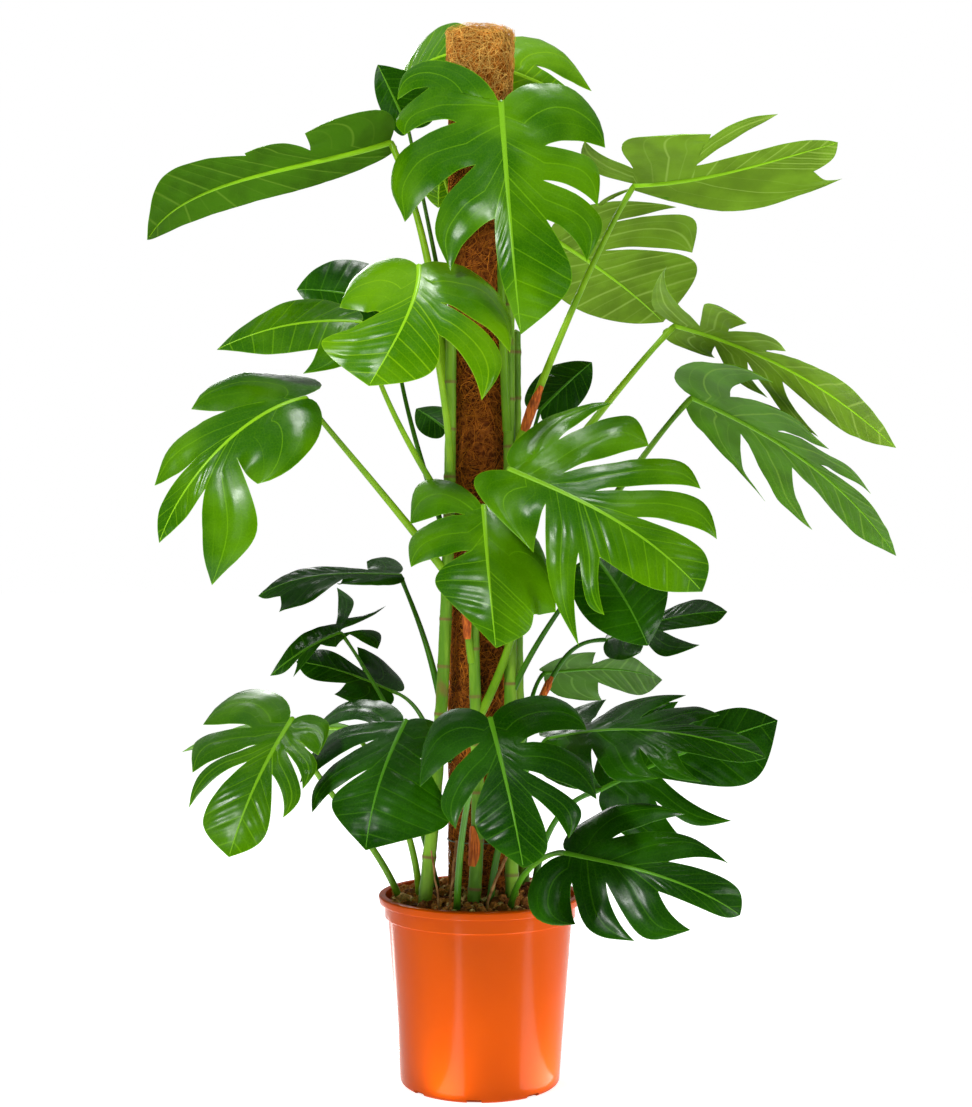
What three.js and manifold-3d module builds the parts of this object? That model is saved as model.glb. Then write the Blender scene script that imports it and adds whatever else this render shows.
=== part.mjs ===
import * as THREE from "three";
import { mergeVertices } from "three/addons/utils/BufferGeometryUtils.js";
import Module from "manifold-3d";

const wasm = await Module();
wasm.setup();

// Everything is in millimetres, with z up and the middle of the pot's underside at the origin.

const GAP = 0.3;                  // clearance between neighbouring pieces
const DEGREE = Math.PI / 180;

// ---- Pot ----------------------------------------------------------------------------------
const POT_HEIGHT = 250;
const RIM_RADIUS = 135;
const LIP_DROP = 11;              // how far the rolled lip hangs down outside
const LIP_ROUND = 3;
const COLLAR_RADIUS = 127;
const COLLAR_DROP = 31;           // from the rim down to the step below the collar
const STEP_DEPTH = 4.5;
const BASE_RADIUS = 106;
const BASE_ROUND = 6;
const WALL = 2.4;
const FLOOR = 3;
const POT_SIDES = 40;
const NOTCH = { count: 8, width: 19, height: 5, depth: 9, turn: -94 * DEGREE };

// ---- Soil ---------------------------------------------------------------------------------
const SOIL_EDGE_HEIGHT = 236;
const SOIL_DOME = 19;             // how much higher the soil is in the middle
const SOIL_BUMP = 4;
const SOIL_RINGS = 4;

// ---- Coir pole ----------------------------------------------------------------------------
const POLE_RADIUS = 41;
const POLE_FOOT = 30;
const POLE_TOP = 1393;
const POLE_SIDES = 20;
const POLE_RINGS = 12;
const POLE_BUMP = 1.2;
const TIE = { height: 322, radius: 0.8, sides: 5 };

// ---- Stems: feet, bends and tops as [x, y], with the bends evenly spaced in height ---------
const STEM_FOOT = 190;
const STEM_RADIUS = 9;
const STEM_SIDES = 8;
const STEMS = {
  stem_left: { top: 1010, line: [[-79, -58], [-44, -46], [-38, -38], [-38, -38]] },
  stem_front: { top: 620, line: [[-16, -74], [8, -62], [-8, -54], [-8, -53.5]] },
  stem_right: { top: 1160, line: [[42, -62], [40, -42], [38, -38], [38, -38]] },
  stem_back: { top: 1290, line: [[10, 80], [8, 56], [8, 54], [8, 54]] },
  stem_back_right: { top: 1000, line: [[62, 52], [48, 30], [48, 25], [48, 25]] },
};

// ---- Leaves -------------------------------------------------------------------------------
// A leaf is a blade on its own stalk. The stalk starts on a stem, at a height, or at a foot in
// the soil, bends towards the points of stalk and meets the blade at at.
// The midrib runs from at to tip. face says where the upper side looks. arch lifts the midrib
// at its two ends, and sway pushes its middle sideways, in percent of its length.
// Across the midrib each half rises by fold degrees and then droops by curl degrees.
// The halves are outlined flat, in percent of the midrib's length: first the distance from the
// midrib, then the place along it. Each lobe is three points: its shoulder, its tip and the
// end of the slot after it. The last point is the shoulder of the leaf's end.
// back says how far the base reaches behind the stalk, and hollow how round the slots are.
const BLADE_THICKNESS = 1.2;
const RIB_DEPTH = 0.4;            // how far the midrib still stands out at the leaf's tip
const LOBE_STEPS = 3;
const END_STEPS = 5;
const STALK_STEPS = 7;
const STALK_SIDES = 5;

const LEAVES = [
  {
    name: "leaf_top_front", stem: "stem_right", height: 862,
    stalk: [[26, -60, 1032], [24, -70, 1198]], tone: 0.5,
    at: [27, -110, 1278], tip: [51, -190, 971], face: [-0.1, -1, 0.25],
    arch: [12, 25], sway: 0, fold: [8, 8], curl: [30, 32], back: [20, 10], hollow: 0.3,
    left: [[46, -50], [47, -22], [30, -18], [54, -16], [44, -2], [19, 4], [62, 0], [46, 40], [12, 27],
      [37, 42], [26, 71], [6, 53], [7, 76]],
    right: [[44, -24], [42, 16], [16, 21], [42, 20], [36, 46], [14, 37], [44, 48], [29, 73], [14, 55],
      [28, 84]],
  },
  {
    name: "leaf_crown_left", stem: "stem_back", height: 1190,
    stalk: [[-6, 56, 1334]], tone: 0.9,
    at: [-20, 75, 1394], tip: [-120, 150, 1364], face: [-0.2, -0.9, 0.5],
    arch: [20, 20], sway: 0, fold: [10, 10], curl: [5, 10], back: [14, 5], hollow: 0.06,
    left: [[90, 88]],
    right: [[40, 45]],
  },
  {
    name: "leaf_crown_right", stem: "stem_back", height: 1120,
    stalk: [[16, 60, 1308]], tone: 0.9,
    at: [36, 75, 1367], tip: [165, 145, 1315], face: [0.1, -0.95, 0.35],
    arch: [15, 20], sway: 0, fold: [10, 5], curl: [10, 20], back: [5, 26], hollow: 0.06,
    left: [[34, 66]],
    right: [[132, 20], [28, 92], [18, 24], [10, 60]],
  },
  {
    name: "leaf_upper_left", stem: "stem_left", height: 915,
    stalk: [[-66, -10, 1118], [-92, 0, 1185]], tone: 0.8,
    at: [-119, 10, 1253], tip: [-423, -110, 1101], face: [-0.3, 0.6, 0.7],
    arch: [5, 45], sway: 0, fold: [5, -5], curl: [20, -10], back: [10, 3], hollow: 0.06,
    left: [[13, 80]],
    right: [[23, -3], [12, 29], [5, 28], [12, 36], [10, 50], [9, 50], [18, 84]],
  },
  {
    name: "leaf_upper_right", stem: "stem_right", height: 826,
    stalk: [[104, -60, 993], [165, -60, 1124]], tone: 0.9,
    at: [202, -45, 1184], tip: [448, -150, 1216], face: [0, 0.6, 0.8],
    arch: [-14, -6], sway: 0, fold: [5, 5], curl: [5, 10], back: [12, 20], hollow: 0.1,
    left: [[16, -27], [35, -12], [12, 4], [44, 4], [28, 48], [24, 44], [36, 64], [29, 80], [9, 34],
      [10, 88]],
    right: [[16, -26], [10, -18], [3, -2], [26, 50], [20, 97], [12, 86], [9, 97]],
  },
  {
    name: "leaf_upper_right_back", stem: "stem_back", height: 1000,
    stalk: [[54, 60, 1103]], tone: 0.95,
    at: [96, 80, 1139], tip: [263, 190, 1035], face: [0.2, 0.9, 0.5],
    arch: [10, 20], sway: 0, fold: [0, 0], curl: [10, 10], back: [10, 10], hollow: 0.15,
    left: [[47, -5], [64, 44], [30, 23], [78, 56], [47, 78], [12, 35], [60, 92]],
    right: [[40, 66]],
  },
  {
    name: "leaf_shoulder_front", stem: "stem_left", height: 810,
    stalk: [[-37, -70, 868], [-58, -110, 977]], tone: 0.85,
    at: [-76, -150, 1063], tip: [-132, -250, 902], face: [-0.1, -0.85, 0.6],
    arch: [20, 30], sway: -14, fold: [8, 8], curl: [8, 25], back: [16, 10], hollow: 0.2,
    left: [[47, -52], [46, 38], [18, 48], [58, 98]],
    right: [[62, -40], [64, 44], [16, 33], [68, 44], [60, 76], [21, 56], [34, 78]],
  },
  {
    name: "leaf_shoulder_left", stem: "stem_left", height: 765,
    stalk: [[-98, -40, 851], [-137, -50, 922]], tone: 0.7,
    at: [-153, -60, 1003], tip: [-338, -85, 964], face: [-0.2, -0.8, 0.7],
    arch: [20, 20], sway: 0, fold: [5, 5], curl: [8, 15], back: [8, 8], hollow: 0.06,
    left: [[37, 40]],
    right: [[46, 2], [42, 48], [24, 34], [26, 66]],
  },
  {
    name: "leaf_left_drooping", stem: "stem_left", height: 680,
    stalk: [[-142, -70, 804], [-211, -90, 877]], tone: 0.7,
    at: [-222, -110, 901], tip: [-395, -180, 715], face: [-0.4, -0.85, 0.4],
    arch: [38, 38], sway: 0, fold: [0, 5], curl: [1, 12], back: [34, 10], hollow: -0.1,
    left: [[56, -4], [30, 42], [7, 18], [28, 56], [17, 80], [6, 58], [10, 88]],
    right: [[46, 28], [27, 53], [10, 49], [48, 68], [33, 104], [8, 68], [9, 84]],
  },
  {
    name: "leaf_right_reaching", stem: "stem_right", height: 745,
    stalk: [[170, -50, 902], [206, -60, 950]], tone: 0.95,
    at: [254, -60, 999], tip: [516, -170, 833], face: [0.25, 0.35, 0.9],
    arch: [15, 15], sway: 0, fold: [5, 5], curl: [10, 5], back: [10, 10], hollow: 0.2,
    left: [[34, -6], [66, 4], [6, 10], [50, 16], [26, 31], [10, 22], [32, 44], [18, 48], [6, 38],
      [32, 80]],
    right: [[16, 4], [14, 16], [6, 16], [26, 24], [27, 40], [8, 30], [34, 48], [32, 66], [10, 46],
      [24, 78]],
  },
  {
    name: "leaf_right_hanging", stem: "stem_back_right", height: 610,
    stalk: [[192, 50, 787], [227, 50, 850]], tone: 0.45,
    at: [288, 50, 915], tip: [548, -30, 699], face: [0.25, 0.35, 0.9],
    arch: [15, 20], sway: 0, fold: [5, 5], curl: [10, 5], back: [14, 6], hollow: 0.2,
    left: [[72, 0], [68, 30], [18, 14], [44, 32], [31, 58], [10, 35], [36, 68], [22, 80], [6, 55],
      [18, 88]],
    right: [[26, 17], [42, 42], [8, 22], [38, 48], [36, 66], [10, 46], [20, 82]],
  },
  {
    name: "leaf_centre_right", stem: "stem_front", height: 490,
    stalk: [[85, -50, 654], [61, -110, 783]], tone: 0.55,
    at: [36, -195, 806], tip: [262, -285, 657], face: [0.1, -0.9, 0.6],
    arch: [15, 30], sway: 0, fold: [8, 5], curl: [25, 1], back: [14, 12], hollow: 0.15,
    left: [[14, -20], [29, 32], [8, 24], [42, 46], [51, 76], [20, 49], [38, 66], [35, 76], [17, 58],
      [17, 86]],
    right: [[52, -12], [60, 10], [26, 6], [68, 16], [45, 39], [10, 20], [53, 52], [39, 71], [8, 37],
      [42, 74], [25, 91], [7, 59], [20, 95]],
  },
  {
    name: "leaf_centre_left", stem: "stem_front", height: 560,
    stalk: [[-23, -70, 642], [-17, -110, 719]], tone: 0.6,
    at: [5, -140, 763], tip: [20, -250, 589], face: [-0.1, -0.8, 0.6],
    arch: [15, 30], sway: 0, fold: [8, 8], curl: [25, 30], back: [18, 14], hollow: 0.15,
    left: [[58, -82], [50, -11], [12, 4], [56, -10], [50, 27], [9, 35], [46, 42]],
    right: [[44, 2], [38, 80], [24, 82], [22, 94]],
  },
  {
    name: "leaf_centre_back", stem: "stem_right", height: 525,
    stalk: [[78, -55, 602]], tone: 0.2,
    at: [152, -80, 694], tip: [211, -140, 586], face: [0.1, -0.9, 0.4],
    arch: [15, 25], sway: 0, fold: [5, 5], curl: [15, 15], back: [20, 20], hollow: 0.06,
    left: [[53, 68]],
    right: [[66, 48]],
  },
  {
    name: "leaf_small_back_left", stem: "stem_back", height: 748,
    stalk: [[-28, 80, 831]], tone: 0.1,
    at: [-48, 110, 876], tip: [-91, 150, 907], face: [0, -1, 0.4],
    arch: [10, 10], sway: 0, fold: [10, 10], curl: [10, 10], back: [20, 20], hollow: 0.06,
    left: [[56, 70]],
    right: [[50, 60]],
  },
  {
    name: "leaf_small_back_right", stem: "stem_back_right", height: 775,
    stalk: [[69, 80, 858]], tone: 0.1,
    at: [83, 110, 902], tip: [158, 150, 973], face: [0, -1, 0.4],
    arch: [10, 10], sway: 0, fold: [10, 10], curl: [10, 10], back: [20, 20], hollow: 0.06,
    left: [[40, 62]],
    right: [[50, 66]],
  },
  {
    name: "leaf_small_top", stem: "stem_back", height: 1060,
    stalk: [[-41, 60, 1185]], tone: 0.9,
    at: [-55, 60, 1233], tip: [-58, 90, 1180], face: [0, -1, 0.4],
    arch: [10, 10], sway: 0, fold: [10, 10], curl: [10, 10], back: [20, 20], hollow: 0.06,
    left: [[55, 66]],
    right: [[53, 62]],
  },
  {
    name: "leaf_mid_left_narrow", stem: "stem_left", height: 508,
    stalk: [[-70, 20, 586], [-91, 40, 629]], tone: 0.2,
    at: [-109, 40, 674], tip: [-292, -30, 646], face: [-0.1, -0.5, 0.9],
    arch: [10, 25], sway: 0, fold: [0, 5], curl: [1, 5], back: [8, 8], hollow: 0.06,
    left: [[50, -16], [20, 16], [6, 20], [18, 68]],
    right: [[16, 22], [12, 48], [7, 42], [28, 72], [26, 94], [11, 88], [7, 98]],
  },
  {
    name: "leaf_mid_left_small", stem: "stem_left", height: 394,
    stalk: [[-125, -30, 509], [-156, -20, 559]], tone: 0.25,
    at: [-184, -20, 598], tip: [-269, -90, 545], face: [-0.2, -0.95, 0.3],
    arch: [20, 25], sway: 0, fold: [5, 5], curl: [5, 5], back: [10, 45], hollow: 0.06,
    left: [[2, -52], [14, -92], [15, -28], [38, -72], [64, -64], [13, -6], [22, 44]],
    right: [[16, -62], [33, -30], [6, -9], [9, 8], [14, 20], [4, 34], [12, 60], [17, 84], [4, 66],
      [10, 88]],
  },
  {
    name: "leaf_mid_left_flat", stem: "stem_left", height: 430,
    stalk: [[-73, -10, 507]], tone: 0.3,
    at: [-119, 10, 518], tip: [-243, -20, 559], face: [0, -0.7, 0.8],
    arch: [10, 15], sway: 0, fold: [5, 5], curl: [5, 5], back: [25, 12], hollow: 0.06,
    left: [[60, -10], [44, 40], [12, 32], [34, 80]],
    right: [[40, 8], [30, 58], [13, 48], [24, 88]],
  },
  {
    name: "leaf_low_left", foot: [-98, 36, 180],
    stalk: [[-97, -60, 268], [-133, 0, 320], [-245, 0, 413]], tone: 0.5,
    at: [-231, -180, 499], tip: [-289, -320, 351], face: [-0.1, -0.9, 0.5],
    arch: [15, 25], sway: 0, fold: [5, 5], curl: [18, 15], back: [22, 10], hollow: 0.2,
    left: [[66, -54], [56, 4], [20, 12], [62, 10], [42, 50], [11, 26], [42, 48], [34, 76], [11, 40],
      [30, 86]],
    right: [[26, -20], [24, 22], [9, 16], [30, 26], [25, 50], [7, 27], [30, 54], [21, 71], [6, 46],
      [21, 88]],
  },
  {
    name: "leaf_low_left_back", foot: [-82, 22, 180],
    stalk: [[-74, -50, 281], [-86, -50, 327], [-110, -60, 408]], tone: 0.6,
    at: [-174, 15, 468], tip: [-387, -60, 444], face: [0, 0.3, 0.9],
    arch: [10, 20], sway: 0, fold: [0, 0], curl: [5, 5], back: [5, 5], hollow: 0.06,
    left: [[50, 0], [48, 40], [18, 22], [42, 70]],
    right: [[28, 10], [22, 40], [8, 30], [24, 78]],
  },
  {
    name: "leaf_low_centre_left", foot: [-48, 12, 180],
    stalk: [[-50, 10, 265], [-82, -5, 345], [-105, -80, 423]], tone: 0.15,
    at: [-92, -150, 494], tip: [-133, -290, 354], face: [-0.2, -0.8, 0.6],
    arch: [15, 30], sway: 0, fold: [5, 5], curl: [18, 20], back: [16, 8], hollow: 0.2,
    left: [[70, -64], [70, -14], [24, 0], [68, -4], [58, 46], [14, 18], [50, 44], [40, 76], [8, 45],
      [38, 70]],
    right: [[42, -10], [36, 30], [18, 33], [60, 80]],
  },
  {
    name: "leaf_low_centre", foot: [-34, -84, 180],
    stalk: [[-24, -90, 255], [-35, -120, 326], [-12, -190, 424]], tone: 0.25,
    at: [13, -250, 506], tip: [50, -380, 349], face: [0, -0.9, 0.5],
    arch: [15, 30], sway: 0, fold: [5, 5], curl: [25, 25], back: [14, 12], hollow: 0.15,
    left: [[41, -42], [48, 30], [9, 17], [44, 44], [32, 70], [8, 40], [28, 74]],
    right: [[60, -46], [58, 2], [13, 22], [58, 22], [50, 62], [11, 42], [46, 70], [28, 88], [12, 60],
      [19, 96]],
  },
  {
    name: "leaf_low_right", foot: [14, -84, 180],
    stalk: [[7, -60, 278], [26, -80, 346], [51, -100, 425]], tone: 0.25,
    at: [87, -120, 468], tip: [352, -190, 451], face: [0.1, -0.5, 0.9],
    arch: [20, 20], sway: 0, fold: [5, 5], curl: [5, 1], back: [12, 12], hollow: 0.15,
    left: [[42, 8], [40, 33], [13, 23], [38, 36], [31, 57], [13, 45], [30, 60], [29, 76], [12, 62],
      [12, 90]],
    right: [[38, -8], [32, 20], [9, 18], [38, 32], [38, 58], [11, 41], [34, 62], [24, 76], [10, 64],
      [15, 92]],
  },
  {
    name: "leaf_low_over_rim", foot: [44, -92, 180],
    stalk: [[26, -60, 258], [51, -110, 299], [81, -180, 336]], tone: 0.25,
    at: [103, -230, 341], tip: [303, -310, 282], face: [0, -0.8, 0.6],
    arch: [15, 35], sway: 0, fold: [5, 5], curl: [15, 5], back: [14, 10], hollow: 0.2,
    left: [[50, -20], [36, 20], [15, 10], [42, 26], [36, 54], [11, 28], [40, 58], [20, 80], [8, 56],
      [8, 94]],
    right: [[54, 0], [42, 50], [15, 20], [34, 46], [23, 84], [10, 54], [17, 98]],
  },
  {
    name: "leaf_low_right_back", foot: [70, -8, 180],
    stalk: [[66, -10, 262], [79, -20, 350], [112, -40, 379]], tone: 0.15,
    at: [157, -40, 392], tip: [384, -80, 487], face: [0.1, -0.9, 0.4],
    arch: [20, 20], sway: 0, fold: [5, 5], curl: [10, 10], back: [8, 8], hollow: 0.15,
    left: [[38, 0], [44, 34], [17, 26], [38, 38], [40, 60], [8, 34], [35, 80]],
    right: [[42, 16], [27, 56], [12, 40], [17, 86]],
  },
  {
    name: "leaf_mid_right", stem: "stem_back_right", height: 450,
    stalk: [[107, 40, 556], [116, 40, 585]], tone: 0.15,
    at: [171, 40, 585], tip: [327, -20, 625], face: [0.1, -0.6, 0.9],
    arch: [10, 15], sway: 0, fold: [5, 5], curl: [1, 1], back: [6, 6], hollow: 0.06,
    left: [[38, 6], [32, 32], [16, 34], [50, 50], [38, 82], [14, 50], [18, 94]],
    right: [[42, 0], [26, 36], [8, 34], [32, 78]],
  },
  {
    name: "leaf_mid_right_back", stem: "stem_back_right", height: 392,
    stalk: [[65, 100, 518]], tone: 0.15,
    at: [91, 130, 535], tip: [249, 60, 529], face: [0.1, 0.5, 0.8],
    arch: [10, 20], sway: 0, fold: [5, 5], curl: [1, 1], back: [8, 6], hollow: 0.06,
    left: [[40, 16], [32, 52], [9, 42], [40, 86]],
    right: [[46, -4], [46, 34], [20, 38], [46, 72]],
  },
  {
    name: "leaf_upper_left_back", stem: "stem_left", height: 994,
    stalk: [[-75, 60, 1178]], tone: 0.3,
    at: [-98, 50, 1281], tip: [-139, 45, 1366], face: [-0.2, -0.9, 0.4],
    arch: [10, 10], sway: 0, fold: [5, 5], curl: [5, 5], back: [20, 20], hollow: 0.06,
    left: [[74, 42]],
    right: [[32, 66]],
  },
  {
    name: "leaf_shoulder_back", stem: "stem_left", height: 722,
    stalk: [[-74, -10, 814], [-121, 20, 949]], tone: 0.2,
    at: [-115, 35, 1038], tip: [-246, 15, 1056], face: [-0.2, -0.9, 0.4],
    arch: [10, 20], sway: 0, fold: [5, 5], curl: [10, 10], back: [20, 20], hollow: 0.06,
    left: [[62, 70]],
    right: [[45, 62]],
  },
];

// ---- Dry sheaths: husks that hug a stalk or a stem between two shares of its length ---------
const SHEATH = { thickness: 1, spread: 150, steps: 5, across: 3 };
const SHEATHS = [
  { name: "sheath_upper", on: "leaf_upper_right", from: 0.1, to: 0.26, facing: -75 },
  { name: "sheath_middle", on: "leaf_centre_left", from: 0.15, to: 0.5, facing: -110 },
  { name: "sheath_middle_right", on: "leaf_mid_right", from: 0.3, to: 0.5, facing: -100 },
  { name: "sheath_low", on: "stem_front", from: 0.25, to: 0.37, facing: -140 },
];

// ---- Aerial roots: from beside a stem down into the soil -----------------------------------
const ROOT_SIDES = 5;
const ROOT_STEPS = 8;
const ROOTS = [
  { name: "aerial_root_front", radius: 2.2, line: [[44, -76, 330], [30, -92, 300], [6, -96, 270], [4, -98, 205]] },
  { name: "aerial_root_pale", radius: 1.6, line: [[-62, -74, 318], [-58, -84, 290], [-52, -86, 262], [-52, -88, 205]] },
  { name: "aerial_root_left", radius: 2, line: [[-30, -70, 330], [-34, -84, 300], [-40, -84, 268], [-38, -84, 205]] },
];

// ---- Materials ----------------------------------------------------------------------------
const ORANGE = material("#ee6414", 0.35);
const SOIL = material("#5a371e", 0.95);
const COIR = material("#784020", 0.95);
const STEM_GREEN = material("#4f7a26", 0.5);
const DRY_ORANGE = material("#c25a18", 0.7);
const ROOT_BROWN = material("#7a5230", 0.85);
const TIE_GREY = material("#5c6a58", 0.6);
const LEAF_DARK = new THREE.Color("#1c4a12");
const LEAF_LIGHT = new THREE.Color("#6aa61c");

function material(color, roughness) {
  return new THREE.MeshStandardMaterial({ color, roughness, metalness: 0 });
}

function leafMaterial(tone) {
  return material(LEAF_DARK.clone().lerp(LEAF_LIGHT, tone), 0.4);
}

// ---- Curves -------------------------------------------------------------------------------
// A smooth curve that leaves its first point and reaches its last, drawn towards the others.
class Bend extends THREE.Curve {
  constructor(points) {
    super();
    this.points = points.map((point) => new THREE.Vector3(...point));
  }

  getPoint(t) {
    let points = this.points.map((point) => point.clone());
    while (points.length > 1) {
      points = points.slice(1).map((next, i) => points[i].clone().lerp(next, t));
    }
    return points[0];
  }
}

// Points of an arc in a plane, as [across, up].
function arc(across, up, radius, from, to, steps) {
  return Array.from({ length: steps + 1 }, (_, i) => {
    const angle = (from + (to - from) * i / steps) * DEGREE;
    return [across + radius * Math.cos(angle), up + radius * Math.sin(angle)];
  });
}

// A repeatable number from -1 to 1 for a place in a grid.
function noise(row, column) {
  const wave = Math.sin(row * 12.9898 + column * 78.233) * 43758.5453;
  return 2 * (wave - Math.floor(wave)) - 1;
}

// ---- Surfaces -----------------------------------------------------------------------------
// A surface of triangles. Equal points are shared. Each point may carry a ridge, which is how
// much more the surface thickens there on its lower side.
class Sheet {
  constructor() {
    this.points = [];
    this.ridges = [];
    this.triangles = [];
    this.places = new Map();
  }

  vertex(point, ridge = 0) {
    const key = point.toArray().map((value) => value.toFixed(3)).join(" ");
    if (!this.places.has(key)) {
      this.places.set(key, this.points.length);
      this.points.push(point);
      this.ridges.push(ridge);
    }
    return this.places.get(key);
  }

  triangle(a, b, c) {
    if (a !== b && b !== c && c !== a) {
      this.triangles.push([a, b, c]);
    }
  }

  grid(rows) {
    const ids = rows.map((row) => row.map((point) => this.vertex(point)));
    for (let row = 1; row < ids.length; row++) {
      for (let column = 1; column < ids[row].length; column++) {
        const [a, b] = [ids[row - 1][column - 1], ids[row][column - 1]];
        const [c, d] = [ids[row][column], ids[row - 1][column]];
        this.triangle(a, b, c);
        this.triangle(a, c, d);
      }
    }
  }

  // Joins two rows of vertices, which may differ in number.
  strip(near, far) {
    let [i, j] = [0, 0];
    const [lastNear, lastFar] = [near.length - 1, far.length - 1];
    while (i < lastNear || j < lastFar) {
      if (i < lastNear && (i + 1) * lastFar <= (j + 1) * lastNear) {
        this.triangle(near[i], far[j], near[i + 1]);
        i += 1;
      } else {
        this.triangle(near[i], far[j], far[j + 1]);
        j += 1;
      }
    }
  }

  solid() {
    const geometry = new THREE.BufferGeometry().setFromPoints(this.points);
    return solidOf(geometry.setIndex(this.triangles.flat()));
  }
}

// The solid of a closed geometry, without the triangles that have shrunk to a line.
function solidOf(geometry) {
  geometry.deleteAttribute("normal");
  geometry.deleteAttribute("uv");
  const merged = mergeVertices(geometry);
  const corners = merged.index.array;
  const kept = [];
  for (let i = 0; i < corners.length; i += 3) {
    const [a, b, c] = corners.slice(i, i + 3);
    if (a !== b && b !== c && c !== a) {
      kept.push(a, b, c);
    }
  }
  return new wasm.Manifold(new wasm.Mesh({
    numProp: 3,
    vertProperties: merged.getAttribute("position").array,
    triVerts: Uint32Array.from(kept),
  }));
}

function vertexNormals(sheet) {
  const normals = sheet.points.map(() => new THREE.Vector3());
  for (const corners of sheet.triangles) {
    const [a, b, c] = corners.map((corner) => sheet.points[corner]);
    const face = new THREE.Vector3().crossVectors(b.clone().sub(a), c.clone().sub(a));
    corners.forEach((corner) => normals[corner].add(face));
  }
  return normals.map((normal) => normal.normalize());
}

// Gives an open sheet a thickness, half of it on either side, and closes it round its edge.
function thicken(sheet, thickness) {
  const normals = vertexNormals(sheet);
  const count = sheet.points.length;
  const slab = new Sheet();
  const upper = sheet.points.map((point, i) => {
    return point.clone().addScaledVector(normals[i], thickness / 2);
  });
  const lower = sheet.points.map((point, i) => {
    return point.clone().addScaledVector(normals[i], -thickness / 2 - sheet.ridges[i]);
  });
  slab.points = [...upper, ...lower];
  const edges = new Set();
  for (const [a, b, c] of sheet.triangles) {
    slab.triangle(a, b, c);
    slab.triangle(a + count, c + count, b + count);
    edges.add(`${a} ${b}`).add(`${b} ${c}`).add(`${c} ${a}`);
  }
  for (const edge of edges) {
    const [a, b] = edge.split(" ").map(Number);
    if (!edges.has(`${b} ${a}`)) {
      slab.triangle(b, a, a + count);
      slab.triangle(b, a + count, b + count);
    }
  }
  return slab.solid();
}

// Turns a profile of [radius, height] round the z axis. shape moves each of its points, given
// the point's ring and side.
function revolve(profile, sides, shape = (radius, height) => [radius, height]) {
  const outline = profile.map((point) => new THREE.Vector2(...point));
  const geometry = new THREE.LatheGeometry(outline, sides).rotateX(Math.PI / 2);
  const position = geometry.getAttribute("position");
  for (let i = 0; i < position.count; i++) {
    const ring = i % profile.length;
    const side = Math.floor(i / profile.length) % sides;
    const [radius, height] = shape(...profile[ring], ring, side);
    const angle = 2 * Math.PI * side / sides;
    position.setXYZ(i, radius * Math.sin(angle), -radius * Math.cos(angle), height);
  }
  return solidOf(geometry);
}

// A round tube along a curve, with a blunt point of length point at its far end.
// grow widens it and lengthens it at both ends.
function tube(curve, steps, sides, radiusAt, grow = 0, point = 0) {
  const frames = curve.computeFrenetFrames(steps, false);
  const rings = Array.from({ length: steps + 1 }, (_, i) => {
    const centre = curve.getPointAt(i / steps);
    const end = i === 0 ? -1 : i === steps ? 1 : 0;
    centre.addScaledVector(frames.tangents[i], end * grow);
    const radius = radiusAt(i / steps) + grow;
    const ring = Array.from({ length: sides + 1 }, (_, j) => {
      const angle = 2 * Math.PI * (j % sides) / sides;
      return centre.clone()
        .addScaledVector(frames.normals[i], radius * Math.cos(angle))
        .addScaledVector(frames.binormals[i], radius * Math.sin(angle));
    });
    return { centre, ring };
  });
  const cap = ({ centre, ring }) => ring.map(() => centre);
  const sheet = new Sheet();
  const rows = [cap(rings[0]), ...rings.map(({ ring }) => ring), cap(rings[steps])];
  rings[steps].centre.addScaledVector(frames.tangents[steps], point);
  sheet.grid(rows.reverse());
  return sheet.solid();
}

function named(name, solid, look) {
  const { numProp, vertProperties, triVerts } = solid.getMesh();
  const positions = [];
  for (let i = 0; i < vertProperties.length; i += numProp) {
    positions.push(...vertProperties.slice(i, i + 3));
  }
  const geometry = new THREE.BufferGeometry();
  geometry.setAttribute("position", new THREE.Float32BufferAttribute(positions, 3));
  geometry.setIndex([...triVerts]);
  const mesh = new THREE.Mesh(geometry, look);
  mesh.name = name;
  return mesh;
}

// ---- Pot, soil and pole -------------------------------------------------------------------
const STEP_HEIGHT = POT_HEIGHT - COLLAR_DROP;
const STEP_RADIUS = COLLAR_RADIUS - STEP_DEPTH;
const MOUTH_RADIUS = COLLAR_RADIUS - WALL + 1;

function potProfile() {
  const lipBottom = POT_HEIGHT - LIP_DROP;
  return [
    [0, 0],
    ...arc(BASE_RADIUS - BASE_ROUND, BASE_ROUND, BASE_ROUND, -90, -5, 2),
    [STEP_RADIUS, STEP_HEIGHT],
    [COLLAR_RADIUS - 1, STEP_HEIGHT + 2],
    [COLLAR_RADIUS, POT_HEIGHT - WALL - 1],
    [RIM_RADIUS - WALL - 1, POT_HEIGHT - WALL - 1],
    [RIM_RADIUS - WALL - 1, lipBottom],
    [RIM_RADIUS - 1, lipBottom],
    ...arc(RIM_RADIUS - LIP_ROUND, POT_HEIGHT - LIP_ROUND, LIP_ROUND, 0, 90, 2),
    [MOUTH_RADIUS + 1, POT_HEIGHT],
    [MOUTH_RADIUS, POT_HEIGHT - 1],
    [COLLAR_RADIUS - 1 - WALL, STEP_HEIGHT + 2],
    [STEP_RADIUS - WALL, STEP_HEIGHT],
    [BASE_RADIUS - WALL, FLOOR],
    [0, FLOOR],
  ];
}

// One drainage notch: a low opening through the bottom corner of the pot.
function notch(angle) {
  const { width, height, depth } = NOTCH;
  const box = new THREE.BoxGeometry(depth * 2, width, height * 2);
  return solidOf(box.translate(BASE_RADIUS, 0, 0).rotateZ(angle));
}

function pot() {
  const notches = Array.from({ length: NOTCH.count }, (_, i) => {
    return notch(NOTCH.turn + 2 * Math.PI * i / NOTCH.count);
  });
  return notches.reduce((solid, hole) => solid.subtract(hole), revolve(potProfile(), POT_SIDES));
}

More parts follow.
